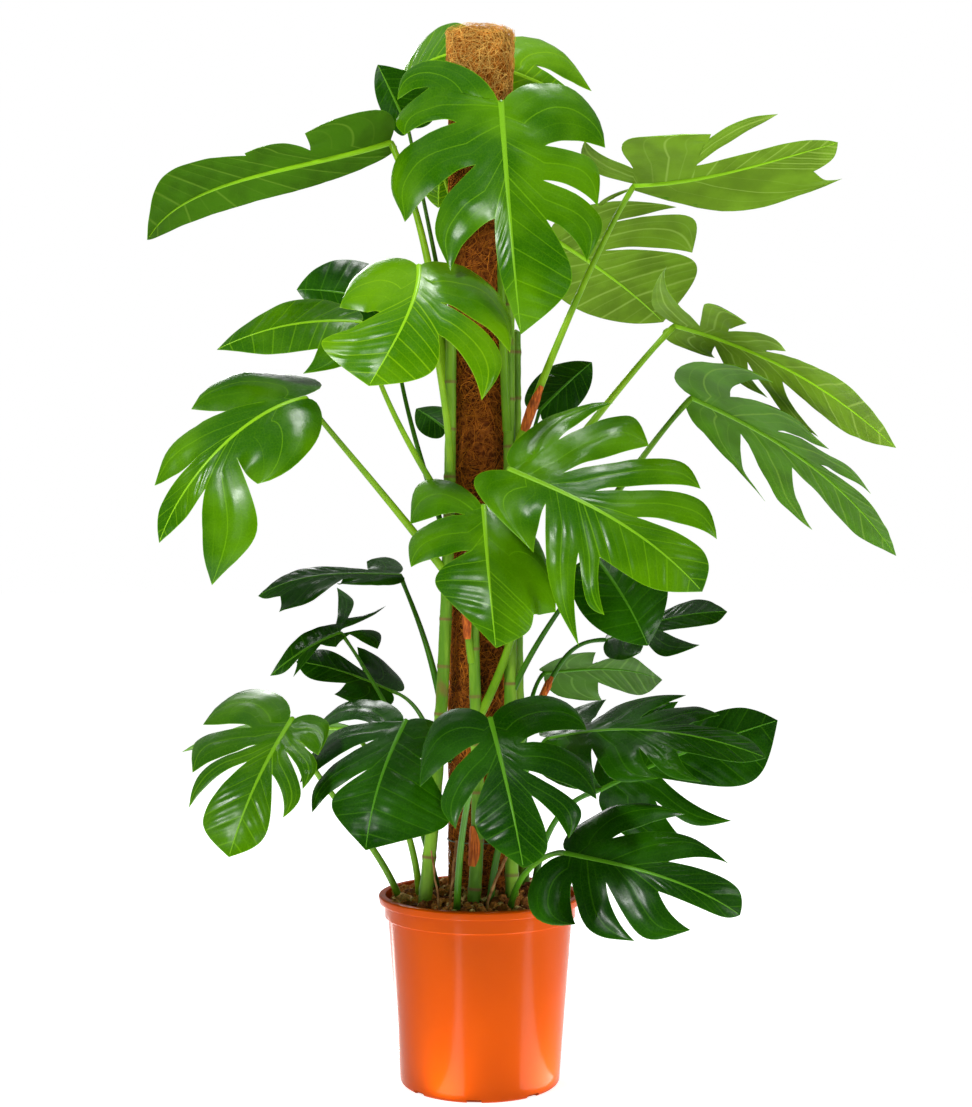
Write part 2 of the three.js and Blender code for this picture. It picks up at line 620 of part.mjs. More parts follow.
function soilHeight(radius) {
  return SOIL_EDGE_HEIGHT + SOIL_DOME * (1 - (radius / MOUTH_RADIUS) ** 2);
}

function soil(holes) {
  const edge = COLLAR_RADIUS - 1 - WALL - GAP;
  const rings = Array.from({ length: SOIL_RINGS + 1 }, (_, i) => {
    const radius = edge * (1 - i / SOIL_RINGS);
    return [radius, soilHeight(radius)];
  });
  const profile = [
    [0, FLOOR + GAP],
    [BASE_RADIUS - WALL - GAP, FLOOR + GAP],
    [STEP_RADIUS - WALL - GAP, STEP_HEIGHT],
    [edge, STEP_HEIGHT + 2],
    ...rings,
  ];
  const loose = profile.length - SOIL_RINGS;
  const bumpy = (radius, height, ring, side) => {
    const bump = ring >= loose && radius > 0 ? SOIL_BUMP * noise(ring, side) : 0;
    return [radius, height + bump];
  };
  return holes.reduce((solid, hole) => solid.subtract(hole), revolve(profile, POT_SIDES, bumpy));
}

function pole(grow = 0) {
  const rings = Array.from({ length: POLE_RINGS + 1 }, (_, i) => {
    return [POLE_RADIUS, POLE_FOOT + (POLE_TOP - POLE_FOOT) * i / POLE_RINGS];
  });
  const profile = [[0, POLE_FOOT], ...rings, [0, POLE_TOP]];
  const rough = (radius, height, ring, side) => {
    if (radius === 0) {
      return [0, height + (ring === 0 ? -grow : grow)];
    }
    const end = ring === 1 ? -grow : ring === POLE_RINGS + 1 ? grow : 0;
    return [radius + POLE_BUMP * noise(ring, side) + grow, height + end];
  };
  return revolve(profile, POLE_SIDES, rough);
}

function tie() {
  const radius = POLE_RADIUS + POLE_BUMP + GAP + TIE.radius;
  return revolve(arc(radius, TIE.height, TIE.radius, 0, 360, TIE.sides), POLE_SIDES);
}

// ---- Stems and roots ----------------------------------------------------------------------
function stemCurve(name) {
  const { top, line } = STEMS[name];
  const spacing = (top - STEM_FOOT) / (line.length - 1);
  return new Bend(line.map(([x, y], i) => [x, y, STEM_FOOT + spacing * i]));
}

function stemRadiusAt(u) {
  return STEM_RADIUS - 2 * u;
}

function stem(name, grow = 0) {
  const { top } = STEMS[name];
  const steps = Math.round((top - STEM_FOOT) / 60);
  return tube(stemCurve(name), steps, STEM_SIDES, stemRadiusAt, grow);
}

function root({ line, radius }, grow = 0) {
  return tube(new Bend(line), ROOT_STEPS, ROOT_SIDES, () => radius, grow);
}

// ---- Leaf ---------------------------------------------------------------------------------
// Control points of the midrib, and the direction across it.
function midribOf({ at, tip, face, arch, sway }) {
  const start = new THREE.Vector3(...at);
  const end = new THREE.Vector3(...tip);
  const chord = end.clone().sub(start);
  const along = chord.clone().normalize();
  const up = new THREE.Vector3(...face);
  up.addScaledVector(along, -up.dot(along)).normalize();
  const across = new THREE.Vector3().crossVectors(along, up);
  const reach = 0.36 * chord.length();
  const [rise, fall] = arch.map((angle) => angle * DEGREE);
  const pull = (point, angle, way) => point.clone()
    .addScaledVector(along, way * reach * Math.cos(angle))
    .addScaledVector(up, reach * Math.sin(angle))
    .addScaledVector(across, chord.length() * sway / 100);
  const points = [start, pull(start, rise, 1), pull(end, fall, -1), end];
  const curve = new Bend(points.map((point) => point.toArray()));
  return { curve, across, length: curve.getLength() };
}

// The point of the blade at x across and y along, both in percent of the midrib's length.
function bladePoint(leaf, midrib, half, x, y) {
  const v = THREE.MathUtils.clamp(y / 100, 0, 1);
  const point = midrib.curve.getPoint(v);
  const along = midrib.curve.getTangent(v);
  const across = midrib.across.clone();
  across.addScaledVector(along, -across.dot(along)).normalize();
  const up = new THREE.Vector3().crossVectors(across, along);
  const fold = leaf.fold[half] * DEGREE;
  const bend = leaf.curl[half] * DEGREE / (midrib.length / 2);
  const angle = fold + bend * x * midrib.length / 100;
  const out = (Math.sin(angle) - Math.sin(fold)) / bend;
  const down = (Math.cos(fold) - Math.cos(angle)) / bend;
  return point
    .addScaledVector(along, (y / 100 - v) * midrib.length)
    .addScaledVector(across, half === 0 ? out : -out)
    .addScaledVector(up, -down);
}

// A flat curve from a to b that is drawn towards a corner.
function towards(a, corner, b, strength) {
  return [a, a.clone().lerp(corner, strength), b.clone().lerp(corner, strength), b];
}

function flat(x, y) {
  return new THREE.Vector2(x, y);
}

function curvePoints(points, steps) {
  return new THREE.CubicBezierCurve(...points).getPoints(steps);
}

// Half of the midrib's width at a place along it, as a flat point.
function ribEdge(leaf, midrib, foot) {
  const width = 100 * stalkRadius(midrib) / midrib.length;
  return flat(width * (1 - foot / 100), foot);
}

// The two edges of each lobe, and the rim of the leaf's end, for one half.
function lobesOf(points, start, back, hollow) {
  const lobes = [];
  let slot = start;
  let foot = 0;
  for (let i = 0; i + 3 < points.length; i += 3) {
    const [shoulder, tip, next] = points.slice(i, i + 3).map(([x, y]) => flat(x, y));
    const basal = [slot, flat(8, -1.4 * back), shoulder, tip];
    const near = i === 0 ? basal : towards(slot, shoulder, tip, 0.92);
    const edge = tip.clone().sub(next);
    const hollowPoint = next.clone().addScaledVector(edge, 0.5)
      .add(flat(edge.y, -edge.x).multiplyScalar(hollow));
    const far = towards(next, hollowPoint, tip, 0.667);
    const nextFoot = Math.max(foot + 2, Math.min(0.62 * next.y + 1, 88));
    lobes.push({ near, far, foot, nextFoot });
    slot = next;
    foot = nextFoot;
  }
  const shoulder = flat(...points.at(-1));
  const tip = flat(0, 100);
  const whole = [slot, flat(0.6 * shoulder.x, -1.7 * back), flat(1.35 * shoulder.x, shoulder.y), tip];
  const rim = lobes.length ? towards(slot, shoulder, tip, 0.92) : whole;
  return { lobes, rim, foot };
}

// Rows of flat points that run from the midrib outwards. Each list of rows is joined up.
function halfRows(leaf, midrib, half) {
  const points = half === 0 ? leaf.left : leaf.right;
  const rib = (foot) => ribEdge(leaf, midrib, foot);
  const { lobes, rim, foot } = lobesOf(points, rib(0), leaf.back[half], leaf.hollow);
  const lobeRow = (edge, at) => ({ foot: at, points: [rib(at), ...curvePoints(edge, LOBE_STEPS)] });
  const parts = lobes.map((lobe) => [lobeRow(lobe.near, lobe.foot), lobeRow(lobe.far, lobe.nextFoot)]);
  const end = curvePoints(rim, END_STEPS).map((point, i) => {
    const at = foot + (100 - foot) * i / END_STEPS;
    const middle = i === 0 ? [] : [rib(at).lerp(point, 0.5)];
    return { foot: at, points: [rib(at), ...middle, point] };
  });
  return [...parts, end];
}

function blade(leaf, midrib) {
  const halves = [0, 1].map((half) => halfRows(leaf, midrib, half));
  const feet = [...new Set(halves.flat(2).map((row) => row.foot))].sort((a, b) => a - b);
  const sheet = new Sheet();
  const depth = stalkRadius(midrib);
  halves.forEach((parts, half) => {
    const vertex = ({ x, y }) => {
      const ridge = x === 0 && y < 100 ? depth * (1 - y / 100) + RIB_DEPTH : 0;
      return sheet.vertex(bladePoint(leaf, midrib, half, x, y), ridge);
    };
    const join = (near, far) => {
      const rows = [near.map(vertex), far.map(vertex)];
      sheet.strip(...(half === 0 ? rows.reverse() : rows));
    };
    for (const rows of parts) {
      rows.slice(1).forEach((far, i) => {
        const near = rows[i];
        const spine = feet.filter((foot) => foot >= near.foot && foot <= far.foot);
        join([near.points[0], far.points[0]], spine.map((foot) => flat(0, foot)));
        join(near.points, far.points);
      });
    }
  });
  return thicken(sheet, BLADE_THICKNESS);
}

function stalkPoints(leaf) {
  if (leaf.foot) {
    return [leaf.foot, ...leaf.stalk, leaf.at];
  }
  const { top } = STEMS[leaf.stem];
  const axis = stemCurve(leaf.stem).getPoint((leaf.height - STEM_FOOT) / (top - STEM_FOOT));
  const side = new THREE.Vector3(...leaf.stalk[0]).sub(axis).setZ(0).normalize();
  const start = axis.addScaledVector(side, STEM_RADIUS * 0.5);
  return [start.toArray(), ...leaf.stalk, leaf.at];
}

function stalkRadius(midrib) {
  return 1.5 + 0.006 * midrib.length;
}

function stalkRadiusAt(leaf) {
  const end = stalkRadius(midribOf(leaf));
  return (u) => end * (1.85 - 0.85 * u);
}

function stalk(leaf, grow = 0) {
  const radiusAt = stalkRadiusAt(leaf);
  const curve = new Bend(stalkPoints(leaf));
  return tube(curve, STALK_STEPS, STALK_SIDES, radiusAt, grow, 0.7 * radiusAt(1));
}

function leafSolid(leaf) {
  const solid = blade(leaf, midribOf(leaf)).add(stalk(leaf));
  return leaf.stem ? solid.subtract(stem(leaf.stem, GAP)) : solid;
}

function sheath({ on, from, to, facing }) {
  const leaf = LEAVES.find(({ name }) => name === on);
  const curve = leaf ? new Bend(stalkPoints(leaf)) : stemCurve(on);
  const radiusAt = leaf ? stalkRadiusAt(leaf) : stemRadiusAt;
  const { thickness, spread, steps, across } = SHEATH;
  const slack = Math.cos(spread * DEGREE / across / 2);
  const sheet = new Sheet();
  const rows = Array.from({ length: steps + 1 }, (_, i) => {
    const u = from + (to - from) * i / steps;
    const along = curve.getTangentAt(u);
    const front = new THREE.Vector3(Math.cos(facing * DEGREE), Math.sin(facing * DEGREE), 0);
    front.addScaledVector(along, -front.dot(along)).normalize();
    const side = new THREE.Vector3().crossVectors(along, front);
    const radius = (radiusAt(u) + GAP + thickness / 2) / slack;
    const opening = spread * DEGREE * Math.sin(Math.PI * (0.2 + 0.7 * i / steps));
    return Array.from({ length: across + 1 }, (_, j) => {
      const angle = opening * (j / across - 0.5);
      return curve.getPointAt(u)
        .addScaledVector(front, radius * Math.cos(angle))
        .addScaledVector(side, radius * Math.sin(angle));
    });
  });
  sheet.grid(rows);
  return thicken(sheet, thickness);
}

// ---- Assembly -----------------------------------------------------------------------------
function plant() {
  const group = new THREE.Group();
  group.name = "potted_monstera";
  const stems = Object.keys(STEMS);
  const rooted = LEAVES.filter((leaf) => leaf.foot);
  const holes = [
    pole(GAP),
    ...stems.map((name) => stem(name, GAP)),
    ...rooted.map((leaf) => stalk(leaf, GAP)),
    ...ROOTS.map((line) => root(line, GAP)),
  ];
  group.add(named("pot", pot(), ORANGE));
  group.add(named("soil", soil(holes), SOIL));
  group.add(named("coir_pole", pole(), COIR));
  group.add(named("plant_tie", tie(), TIE_GREY));
  stems.forEach((name) => group.add(named(name, stem(name), STEM_GREEN)));
  LEAVES.forEach((leaf) => group.add(named(leaf.name, leafSolid(leaf), leafMaterial(leaf.tone))));
  SHEATHS.forEach((piece) => group.add(named(piece.name, sheath(piece), DRY_ORANGE)));
  ROOTS.forEach((piece) => group.add(named(piece.name, root(piece), ROOT_BROWN)));
  return group;
}

export default plant();
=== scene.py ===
import math
from dataclasses import dataclass

import bmesh
import bpy
import numpy as np
from mathutils import Matrix, Vector


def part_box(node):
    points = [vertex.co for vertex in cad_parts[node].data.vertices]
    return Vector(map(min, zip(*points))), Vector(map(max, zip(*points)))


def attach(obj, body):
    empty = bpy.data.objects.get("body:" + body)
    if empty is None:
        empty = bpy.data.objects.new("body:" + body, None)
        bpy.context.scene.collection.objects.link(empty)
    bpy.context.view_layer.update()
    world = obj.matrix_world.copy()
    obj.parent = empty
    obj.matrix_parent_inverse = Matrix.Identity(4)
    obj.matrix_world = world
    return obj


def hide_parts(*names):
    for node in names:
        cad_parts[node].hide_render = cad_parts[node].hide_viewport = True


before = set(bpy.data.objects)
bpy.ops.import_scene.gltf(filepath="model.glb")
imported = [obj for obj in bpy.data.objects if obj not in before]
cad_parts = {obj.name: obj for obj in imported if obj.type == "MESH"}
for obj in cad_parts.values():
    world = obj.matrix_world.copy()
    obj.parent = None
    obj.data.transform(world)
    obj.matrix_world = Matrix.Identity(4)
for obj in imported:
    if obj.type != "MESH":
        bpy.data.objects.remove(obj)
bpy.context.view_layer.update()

# Shapes are worked out in millimetres, as in the frame's CAD, and turned into metres as a mesh.
MM = 0.001
WHOLE_TURN = 2 * math.pi
GAP = 0.3                            # between pieces that touch

# Bumps, waves and bends that come by chance are given by their size and their height.
WAVE_COUNT = 7                       # that are added up in each noise

NEARLY_UP = (0.3, 0.2, 1)            # where the first side of a tube looks, along no stalk

# ---- Sizes from the frame -------------------------------------------------------------------
POT_BOX = np.array(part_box("pot")) / MM
POLE_BOX = np.array(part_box("coir_pole")) / MM
TIE_BOX = np.array(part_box("plant_tie")) / MM
POT_HEIGHT = POT_BOX[1, 2]
RIM_RADIUS = POT_BOX[1, 0]
POLE_RADIUS = 41.0
POLE_TOP = POLE_BOX[1, 2]

# ---- Pot ------------------------------------------------------------------------------------
LIP_DROP = 11
LIP_ROUND = 3
LIP_EDGE = 1.2
CORNER_ROUND = 1.5
WALL = 2.4
COLLAR_RADIUS = RIM_RADIUS - 8
COLLAR_BOTTOM = POT_HEIGHT - 31
STEP_DEPTH = 4.5
BASE_RADIUS = 106
BASE_ROUND = 6
FLOOR = 3
POT_SIDES = 160
NOTCHES = 8
NOTCH_SIZE = (18, 19, 10)            # across the wall, along it, and twice the height
NOTCH_TURN = math.radians(-94)

# ---- Coir pole ------------------------------------------------------------------------------
POLE_RINGS = 460
POLE_SIDES = 120
TOP_ROUND = 7                        # how slowly the pole widens below its top
TOP_WIDTH = 0.72                     # of its top, as a share of the pole's, squared
FIBRES_PER_PIECE = 3200
FIBRE_PIECES = 2
FIBRE_STEPS = 9
FIBRE_RADII = (0.16, 0.42)
FIBRE_LENGTHS = (25, 95)
TOP_STRAND_EVERY = 25                # one fibre in so many lies across the top
BARE_FOOT = 170                      # of the pole, in the soil, that has no fibres
FRAY_HEIGHT = 110                    # of the pole's top, where fibres stand off it
FRAY = 5                             # how far they do
FIBRE_CURL = 0.05                    # turn of its heading for each millimetre
FIBRE_WANDER = 0.22
FIBRE_LAYER = 1.1
FIBRE_ARCH = 0.9                     # how far a fibre's middle stands off the others
TIE_SIDES = 96
WIRE_SIDES = 10
MAT_BUMPS = ((26, 0.8), (7, 0.55), (3.5, 0.3))
MAT_STRETCH = (1, 2, 1)              # how much taller than wide these bumps are
MAT_REACH = (-2.2, 1.2)              # of its gaps and strands from the pole's radius
MAT_SINK = 0.4
PALE_FROM, PALE_TO = POLE_TOP - 2 * FRAY_HEIGHT, POLE_TOP - FRAY_HEIGHT / 4

# ---- Soil -----------------------------------------------------------------------------------
SOIL_EDGE_HEIGHT = 236
SOIL_DOME = 19
SOIL_RADIUS = COLLAR_RADIUS - WALL - 1.3
SOIL_RINGS = 70
SOIL_SIDES = 200
SOIL_HEAPS = (22, 1.6)
SOIL_CLODS = (8, 2)
SOIL_CRUMBS = (4, 0.5)
CHIP_COUNT = 1500
CHIP_MARGIN = 7                      # bare soil along the pot's wall
SMALLEST_CHIP = 2
CHIP_SPREAD = 7
CHIP_STRETCH = (0.45, 1.25)
CHIP_BUMPS = (1.1, 0.28)             # as shares of its size
CHIP_LIFT = 0.45                     # of its middle off the soil, as a share of its size

# ---- Stems: feet, bends and tops as (x, y), with the bends evenly spaced in height -----------
STEM_FOOT = 190
STEM_RADIUS = 9
STEM_TAPER = 2
STEM_STEP = 3
STEM_SIDES = 24
STEM_BUMPS = (16, 0.25)
NODE_SPACING = 62                    # between the rings that old leaves left on a stem
RING_WIDTH = 5
RING_RISE = 0.09                     # as a share of the stem's radius
RING_DIP = 0.05
RING_SHIFT = 0.37                    # from one stem to the next, as a share of the spacing
STEMS = {
    "stem_left": (1010, [(-79, -58), (-44, -46), (-38, -38), (-38, -38)]),
    "stem_front": (620, [(-16, -74), (8, -62), (-8, -54), (-8, -53.5)]),
    "stem_right": (1160, [(42, -62), (40, -42), (38, -38), (38, -38)]),
    "stem_back": (1290, [(10, 80), (8, 56), (8, 54), (8, 54)]),
    "stem_back_right": (1000, [(62, 52), (48, 30), (48, 25), (48, 25)]),
}

# ---- Dry sheaths: on what, between which shares of its length, and where they face -----------
SHEATH_THICKNESS = 0.6
SHEATH_GAP = 0.9                     # between a sheath's middle and what it hugs
SHEATH_OPENING = math.radians(150)
SHEATH_TAPER = (0.2, 0.9)            # the part of a half wave that its width follows
SHEATH_SLACK = 1.08
SHEATH_BUMPS = (12, 0.3)
SHEATH_CREASES = 9
CREASE_DEPTH = 0.5
SHEATH_STEPS = 48
SHEATH_SIDES = 24
SHEATHS = {
    "sheath_upper": ("leaf_upper_right", 0.1, 0.26, -75),
    "sheath_middle": ("leaf_centre_left", 0.15, 0.5, -110),
    "sheath_middle_right": ("leaf_mid_right", 0.3, 0.5, -100),
    "sheath_low": ("stem_front", 0.25, 0.37, -140),
}

# ---- Aerial roots: radius and bends ---------------------------------------------------------
ROOT_STEPS = 60
ROOT_SIDES = 12
ROOT_BENDS = (22, 0.7)
ROOT_BUMPS = (9, 0.12)
ROOTS = {
    "aerial_root_front": (2.2, [(44, -76, 330), (30, -92, 300), (6, -96, 270), (4, -98, 205)]),
    "aerial_root_pale": (1.6, [(-62, -74, 318), (-58, -84, 290), (-52, -86, 262), (-52, -88, 205)]),
    "aerial_root_left": (2, [(-30, -70, 330), (-34, -84, 300), (-40, -84, 268), (-38, -84, 205)]),
}

# ---- Leaves ---------------------------------------------------------------------------------
# The halves are outlined flat, in percent of the midrib's length: first the distance from the
# midrib, then the place along it. Each lobe is three points: its shoulder, its tip and the end
# of the slot after it. The last point is the shoulder of the leaf's end.
LIGHT, MIDDLING = 0.75, 0.4          # the least tones of light and of middling leaves
BLADE_THICKNESS = 0.9
RIM_SHARE = 0.5                      # of the thickness, at the blade's edge
RIB_DEPTH = 0.4
RIB_RISE = 0.35
RIB_TIP_WIDTH = 0.5
RIB_END = 0.985                      # as a share of the midrib
RIB_STEPS = 28
RIB_SIDES = 12
MIDRIB_BOW = 0.36                    # how far its two bends lie from its ends, as a share of it
SHOULDER_PULL = 0.92                 # how strongly an edge is drawn towards its shoulder
HOLLOW_PULL = 0.667                  # and a slot towards its hollow
FOOT_SHARE = 0.62                    # where a lobe's foot ends, as a share of its slot's place
LEAST_FOOT = 2                       # on the midrib, in percent
LAST_FOOT = 88
EAR_SPREAD = 8                       # where the lowest lobes bulge behind the stalk, in percent
EAR_REACH = 1.4                      # as a multiple of what the leaf says
WHOLE_EAR_SPREAD = 0.6               # in a half without lobes, as a share of its width
WHOLE_EAR_REACH = 1.7
WHOLE_BULGE = 1.35
LOBE_DROOP = 0.07                    # of a lobe's edges, as a share of its width
QUILT_HEIGHT = 1.1                   # of the fields between the veins
VEIN_REACH = 9                       # how far a vein's dip reaches to each side
MINOR_REACH = 7
FLAT_RIM = 12                        # within these of the edge and of the rib the fields fade out
FLAT_RIB = 14
BLADE_WAVES = (70, 1.5)
BLADE_RIPPLES = (24, 0.35)
END_VEINS = 5                        # in a leaf's end past its lobes
WHOLE_VEINS = 7                      # in a half without lobes
LOBE_ROWS = 12
LOBE_COLUMNS = 16
INNER_COLUMNS = 8
END_ROWS = 60
END_COLUMNS = 18

# ---- Stalks ---------------------------------------------------------------------------------
THINNEST_STALK = 1.5                 # radius at the blade, before what the leaf's size adds
STALK_GROWTH = 0.006                 # radius added for each millimetre of midrib
STALK_FOOT = 1.85                    # radius at the foot, as a multiple of that at the blade
KNUCKLE = 0.22                       # swelling just before the blade
GROOVE = 0.16
STALK_STEPS = 60
STALK_SIDES = 18


@dataclass
class Leaf:
    """A blade on its own stalk, which starts on a stem at a height, or at a foot in the soil."""
    name: str
    stalk: list                      # points that the stalk bends towards
    # A lower tone is partly painted shade: leaves that lie in shade, low down and at the back, get darker
    # greens.
    tone: float                      # 0 for the darkest green, 1 for the lightest
    at: tuple                        # where stalk and blade meet
    tip: tuple
    face: tuple                      # where the upper side looks
    arch: tuple                      # how steeply the midrib rises and falls, in degrees
    fold: tuple                      # how steeply each half rises from the midrib, in degrees
    curl: tuple                      # how much each half then droops, in degrees
    back: tuple                      # how far each half reaches behind the stalk, in percent
    left: list
    right: list
    sway: float = 0                  # how far the midrib's middle goes sideways, in percent
    hollow: float = 0.06             # how round the slots are
    stem: str = ""
    height: float = 0
    foot: tuple = ()


LEAVES = []


def leaf(**facts):
    LEAVES.append(Leaf(**facts))


leaf(
    name="leaf_top_front", stem="stem_right", height=862,
    stalk=[(26, -60, 1032), (24, -70, 1198)], tone=0.5,
    at=(27, -110, 1278), tip=(51, -190, 971), face=(-0.1, -1, 0.25),
    arch=(12, 25), fold=(8, 8), curl=(30, 32), back=(20, 10), hollow=0.3,
    left=[(46, -50), (47, -22), (30, -18), (54, -16), (44, -2), (19, 4), (62, 0), (46, 40), (12, 27),
      (37, 42), (26, 71), (6, 53), (7, 76)],
    right=[(44, -24), (42, 16), (16, 21), (42, 20), (36, 46), (14, 37), (44, 48), (29, 73), (14, 55),
      (28, 84)],
)
leaf(
    name="leaf_crown_left", stem="stem_back", height=1190,
    stalk=[(-6, 56, 1334)], tone=0.9,
    at=(-20, 75, 1394), tip=(-120, 150, 1364), face=(-0.2, -0.9, 0.5),
    arch=(20, 20), fold=(10, 10), curl=(5, 10), back=(14, 5),
    left=[(90, 88)],
    right=[(40, 45)],
)
leaf(
    name="leaf_crown_right", stem="stem_back", height=1120,
    stalk=[(16, 60, 1308)], tone=0.9,
    at=(36, 75, 1367), tip=(165, 145, 1315), face=(0.1, -0.95, 0.35),
    arch=(15, 20), fold=(10, 5), curl=(10, 20), back=(5, 26),
    left=[(34, 66)],
    right=[(132, 20), (28, 92), (18, 24), (10, 60)],
)
leaf(
    name="leaf_upper_left", stem="stem_left", height=915,
    stalk=[(-66, -10, 1118), (-92, 0, 1185)], tone=0.72,
    at=(-119, 10, 1253), tip=(-423, -110, 1101), face=(-0.3, 0.6, 0.7),
    arch=(5, 45), fold=(5, -5), curl=(20, -10), back=(10, 3),
    left=[(13, 80)],
    right=[(23, -3), (12, 29), (5, 28), (12, 36), (10, 50), (9, 50), (18, 84)],
)
leaf(
    name="leaf_upper_right", stem="stem_right", height=826,
    stalk=[(104, -60, 993), (165, -60, 1124)], tone=0.9,
    at=(202, -45, 1184), tip=(448, -150, 1216), face=(0, 0.6, 0.8),
    arch=(-14, -6), fold=(5, 5), curl=(5, 10), back=(12, 20), hollow=0.1,
    left=[(16, -27), (35, -12), (12, 4), (44, 4), (28, 48), (24, 44), (36, 64), (29, 80), (9, 34),
      (10, 88)],
    right=[(16, -26), (10, -18), (3, -2), (26, 50), (20, 97), (12, 86), (9, 97)],
)
leaf(
    name="leaf_upper_right_back", stem="stem_back", height=1000,
    stalk=[(54, 60, 1103)], tone=0.95,
    at=(96, 80, 1139), tip=(263, 190, 1035), face=(0.2, 0.9, 0.5),
    arch=(10, 20), fold=(0, 0), curl=(10, 10), back=(10, 10), hollow=0.15,
    left=[(47, -5), (64, 44), (30, 23), (78, 56), (47, 78), (12, 35), (60, 92)],
    right=[(40, 66)],
)
leaf(
    name="leaf_shoulder_front", stem="stem_left", height=810,
    stalk=[(-37, -70, 868), (-58, -110, 977)], tone=0.85,
    at=(-76, -150, 1063), tip=(-132, -250, 902), face=(-0.1, -0.85, 0.6),
    arch=(20, 30), sway=-14, fold=(8, 8), curl=(8, 25), back=(16, 10), hollow=0.2,
    left=[(47, -52), (46, 38), (18, 48), (58, 98)],
    right=[(62, -40), (64, 44), (16, 33), (68, 44), (60, 76), (21, 56), (34, 78)],
)
leaf(
    name="leaf_shoulder_left", stem="stem_left", height=765,
    stalk=[(-98, -40, 851), (-137, -50, 922)], tone=0.7,
    at=(-153, -60, 1003), tip=(-338, -85, 964), face=(-0.2, -0.8, 0.7),
    arch=(20, 20), fold=(5, 5), curl=(8, 15), back=(8, 8),
    left=[(37, 40)],
    right=[(46, 2), (42, 48), (24, 34), (26, 66)],
)
leaf(
    name="leaf_left_drooping", stem="stem_left", height=680,
    stalk=[(-142, -70, 804), (-211, -90, 877)], tone=0.7,
    at=(-222, -110, 901), tip=(-395, -180, 715), face=(-0.4, -0.85, 0.4),
    arch=(38, 38), fold=(0, 5), curl=(1, 12), back=(34, 10), hollow=-0.1,
    left=[(56, -4), (30, 42), (7, 18), (28, 56), (17, 80), (6, 58), (10, 88)],
    right=[(46, 28), (27, 53), (10, 49), (48, 68), (33, 104), (8, 68), (9, 84)],
)
leaf(
    name="leaf_right_reaching", stem="stem_right", height=745,
    stalk=[(170, -50, 902), (206, -60, 950)], tone=0.95,
    at=(254, -60, 999), tip=(516, -170, 833), face=(0.25, 0.35, 0.9),
    arch=(15, 15), fold=(5, 5), curl=(10, 5), back=(10, 10), hollow=0.2,
    left=[(34, -6), (66, 4), (6, 10), (50, 16), (26, 31), (10, 22), (32, 44), (18, 48), (6, 38),
      (32, 80)],
    right=[(16, 4), (14, 16), (6, 16), (26, 24), (27, 40), (8, 30), (34, 48), (32, 66), (10, 46),
      (24, 78)],
)
leaf(
    name="leaf_right_hanging", stem="stem_back_right", height=610,
    stalk=[(192, 50, 787), (227, 50, 850)], tone=0.45,
    at=(288, 50, 915), tip=(548, -30, 699), face=(0.25, 0.35, 0.9),
    arch=(15, 20), fold=(5, 5), curl=(10, 5), back=(14, 6), hollow=0.2,
    left=[(72, 0), (68, 30), (18, 14), (44, 32), (31, 58), (10, 35), (36, 68), (22, 80), (6, 55),
      (18, 88)],
    right=[(26, 17), (42, 42), (8, 22), (38, 48), (36, 66), (10, 46), (20, 82)],
)
leaf(
    name="leaf_centre_right", stem="stem_front", height=490,
    stalk=[(85, -50, 654), (61, -110, 783)], tone=0.55,
    at=(36, -195, 806), tip=(262, -285, 657), face=(0.1, -0.9, 0.6),
    arch=(15, 30), fold=(8, 5), curl=(25, 1), back=(14, 12), hollow=0.15,
    left=[(14, -20), (29, 32), (8, 24), (42, 46), (51, 76), (20, 49), (38, 66), (35, 76), (17, 58),
      (17, 86)],
    right=[(52, -12), (60, 10), (26, 6), (68, 16), (45, 39), (10, 20), (53, 52), (39, 71), (8, 37),
      (42, 74), (25, 91), (7, 59), (20, 95)],
)
leaf(
    name="leaf_centre_left", stem="stem_front", height=560,
    stalk=[(-23, -70, 642), (-17, -110, 719)], tone=0.6,
    at=(5, -140, 763), tip=(20, -250, 589), face=(-0.1, -0.8, 0.6),
    arch=(15, 30), fold=(8, 8), curl=(25, 30), back=(18, 14), hollow=0.15,
    left=[(58, -82), (50, -11), (12, 4), (56, -10), (50, 27), (9, 35), (46, 42)],
    right=[(44, 2), (38, 80), (24, 82), (22, 94)],
)
leaf(
    name="leaf_centre_back", stem="stem_right", height=525,
    stalk=[(78, -55, 602)], tone=0.2,
    at=(152, -80, 694), tip=(211, -140, 586), face=(0.1, -0.9, 0.4),
    arch=(15, 25), fold=(5, 5), curl=(15, 15), back=(20, 20),
    left=[(53, 68)],
    right=[(66, 48)],
)
leaf(
    name="leaf_small_back_left", stem="stem_back", height=748,
    stalk=[(-28, 80, 831)], tone=0.1,
    at=(-48, 110, 876), tip=(-91, 150, 907), face=(0, -1, 0.4),
    arch=(10, 10), fold=(10, 10), curl=(10, 10), back=(20, 20),
    left=[(56, 70)],
    right=[(50, 60)],
)
leaf(
    name="leaf_small_back_right", stem="stem_back_right", height=775,
    stalk=[(69, 80, 858)], tone=0.1,
    at=(83, 110, 902), tip=(158, 150, 973), face=(0, -1, 0.4),
    arch=(10, 10), fold=(10, 10), curl=(10, 10), back=(20, 20),
    left=[(40, 62)],
    right=[(50, 66)],
)
leaf(
    name="leaf_small_top", stem="stem_back", height=1060,
    stalk=[(-41, 60, 1185)], tone=0.9,
    at=(-55, 60, 1233), tip=(-58, 90, 1180), face=(0, -1, 0.4),
    arch=(10, 10), fold=(10, 10), curl=(10, 10), back=(20, 20),
    left=[(55, 66)],
    right=[(53, 62)],
)
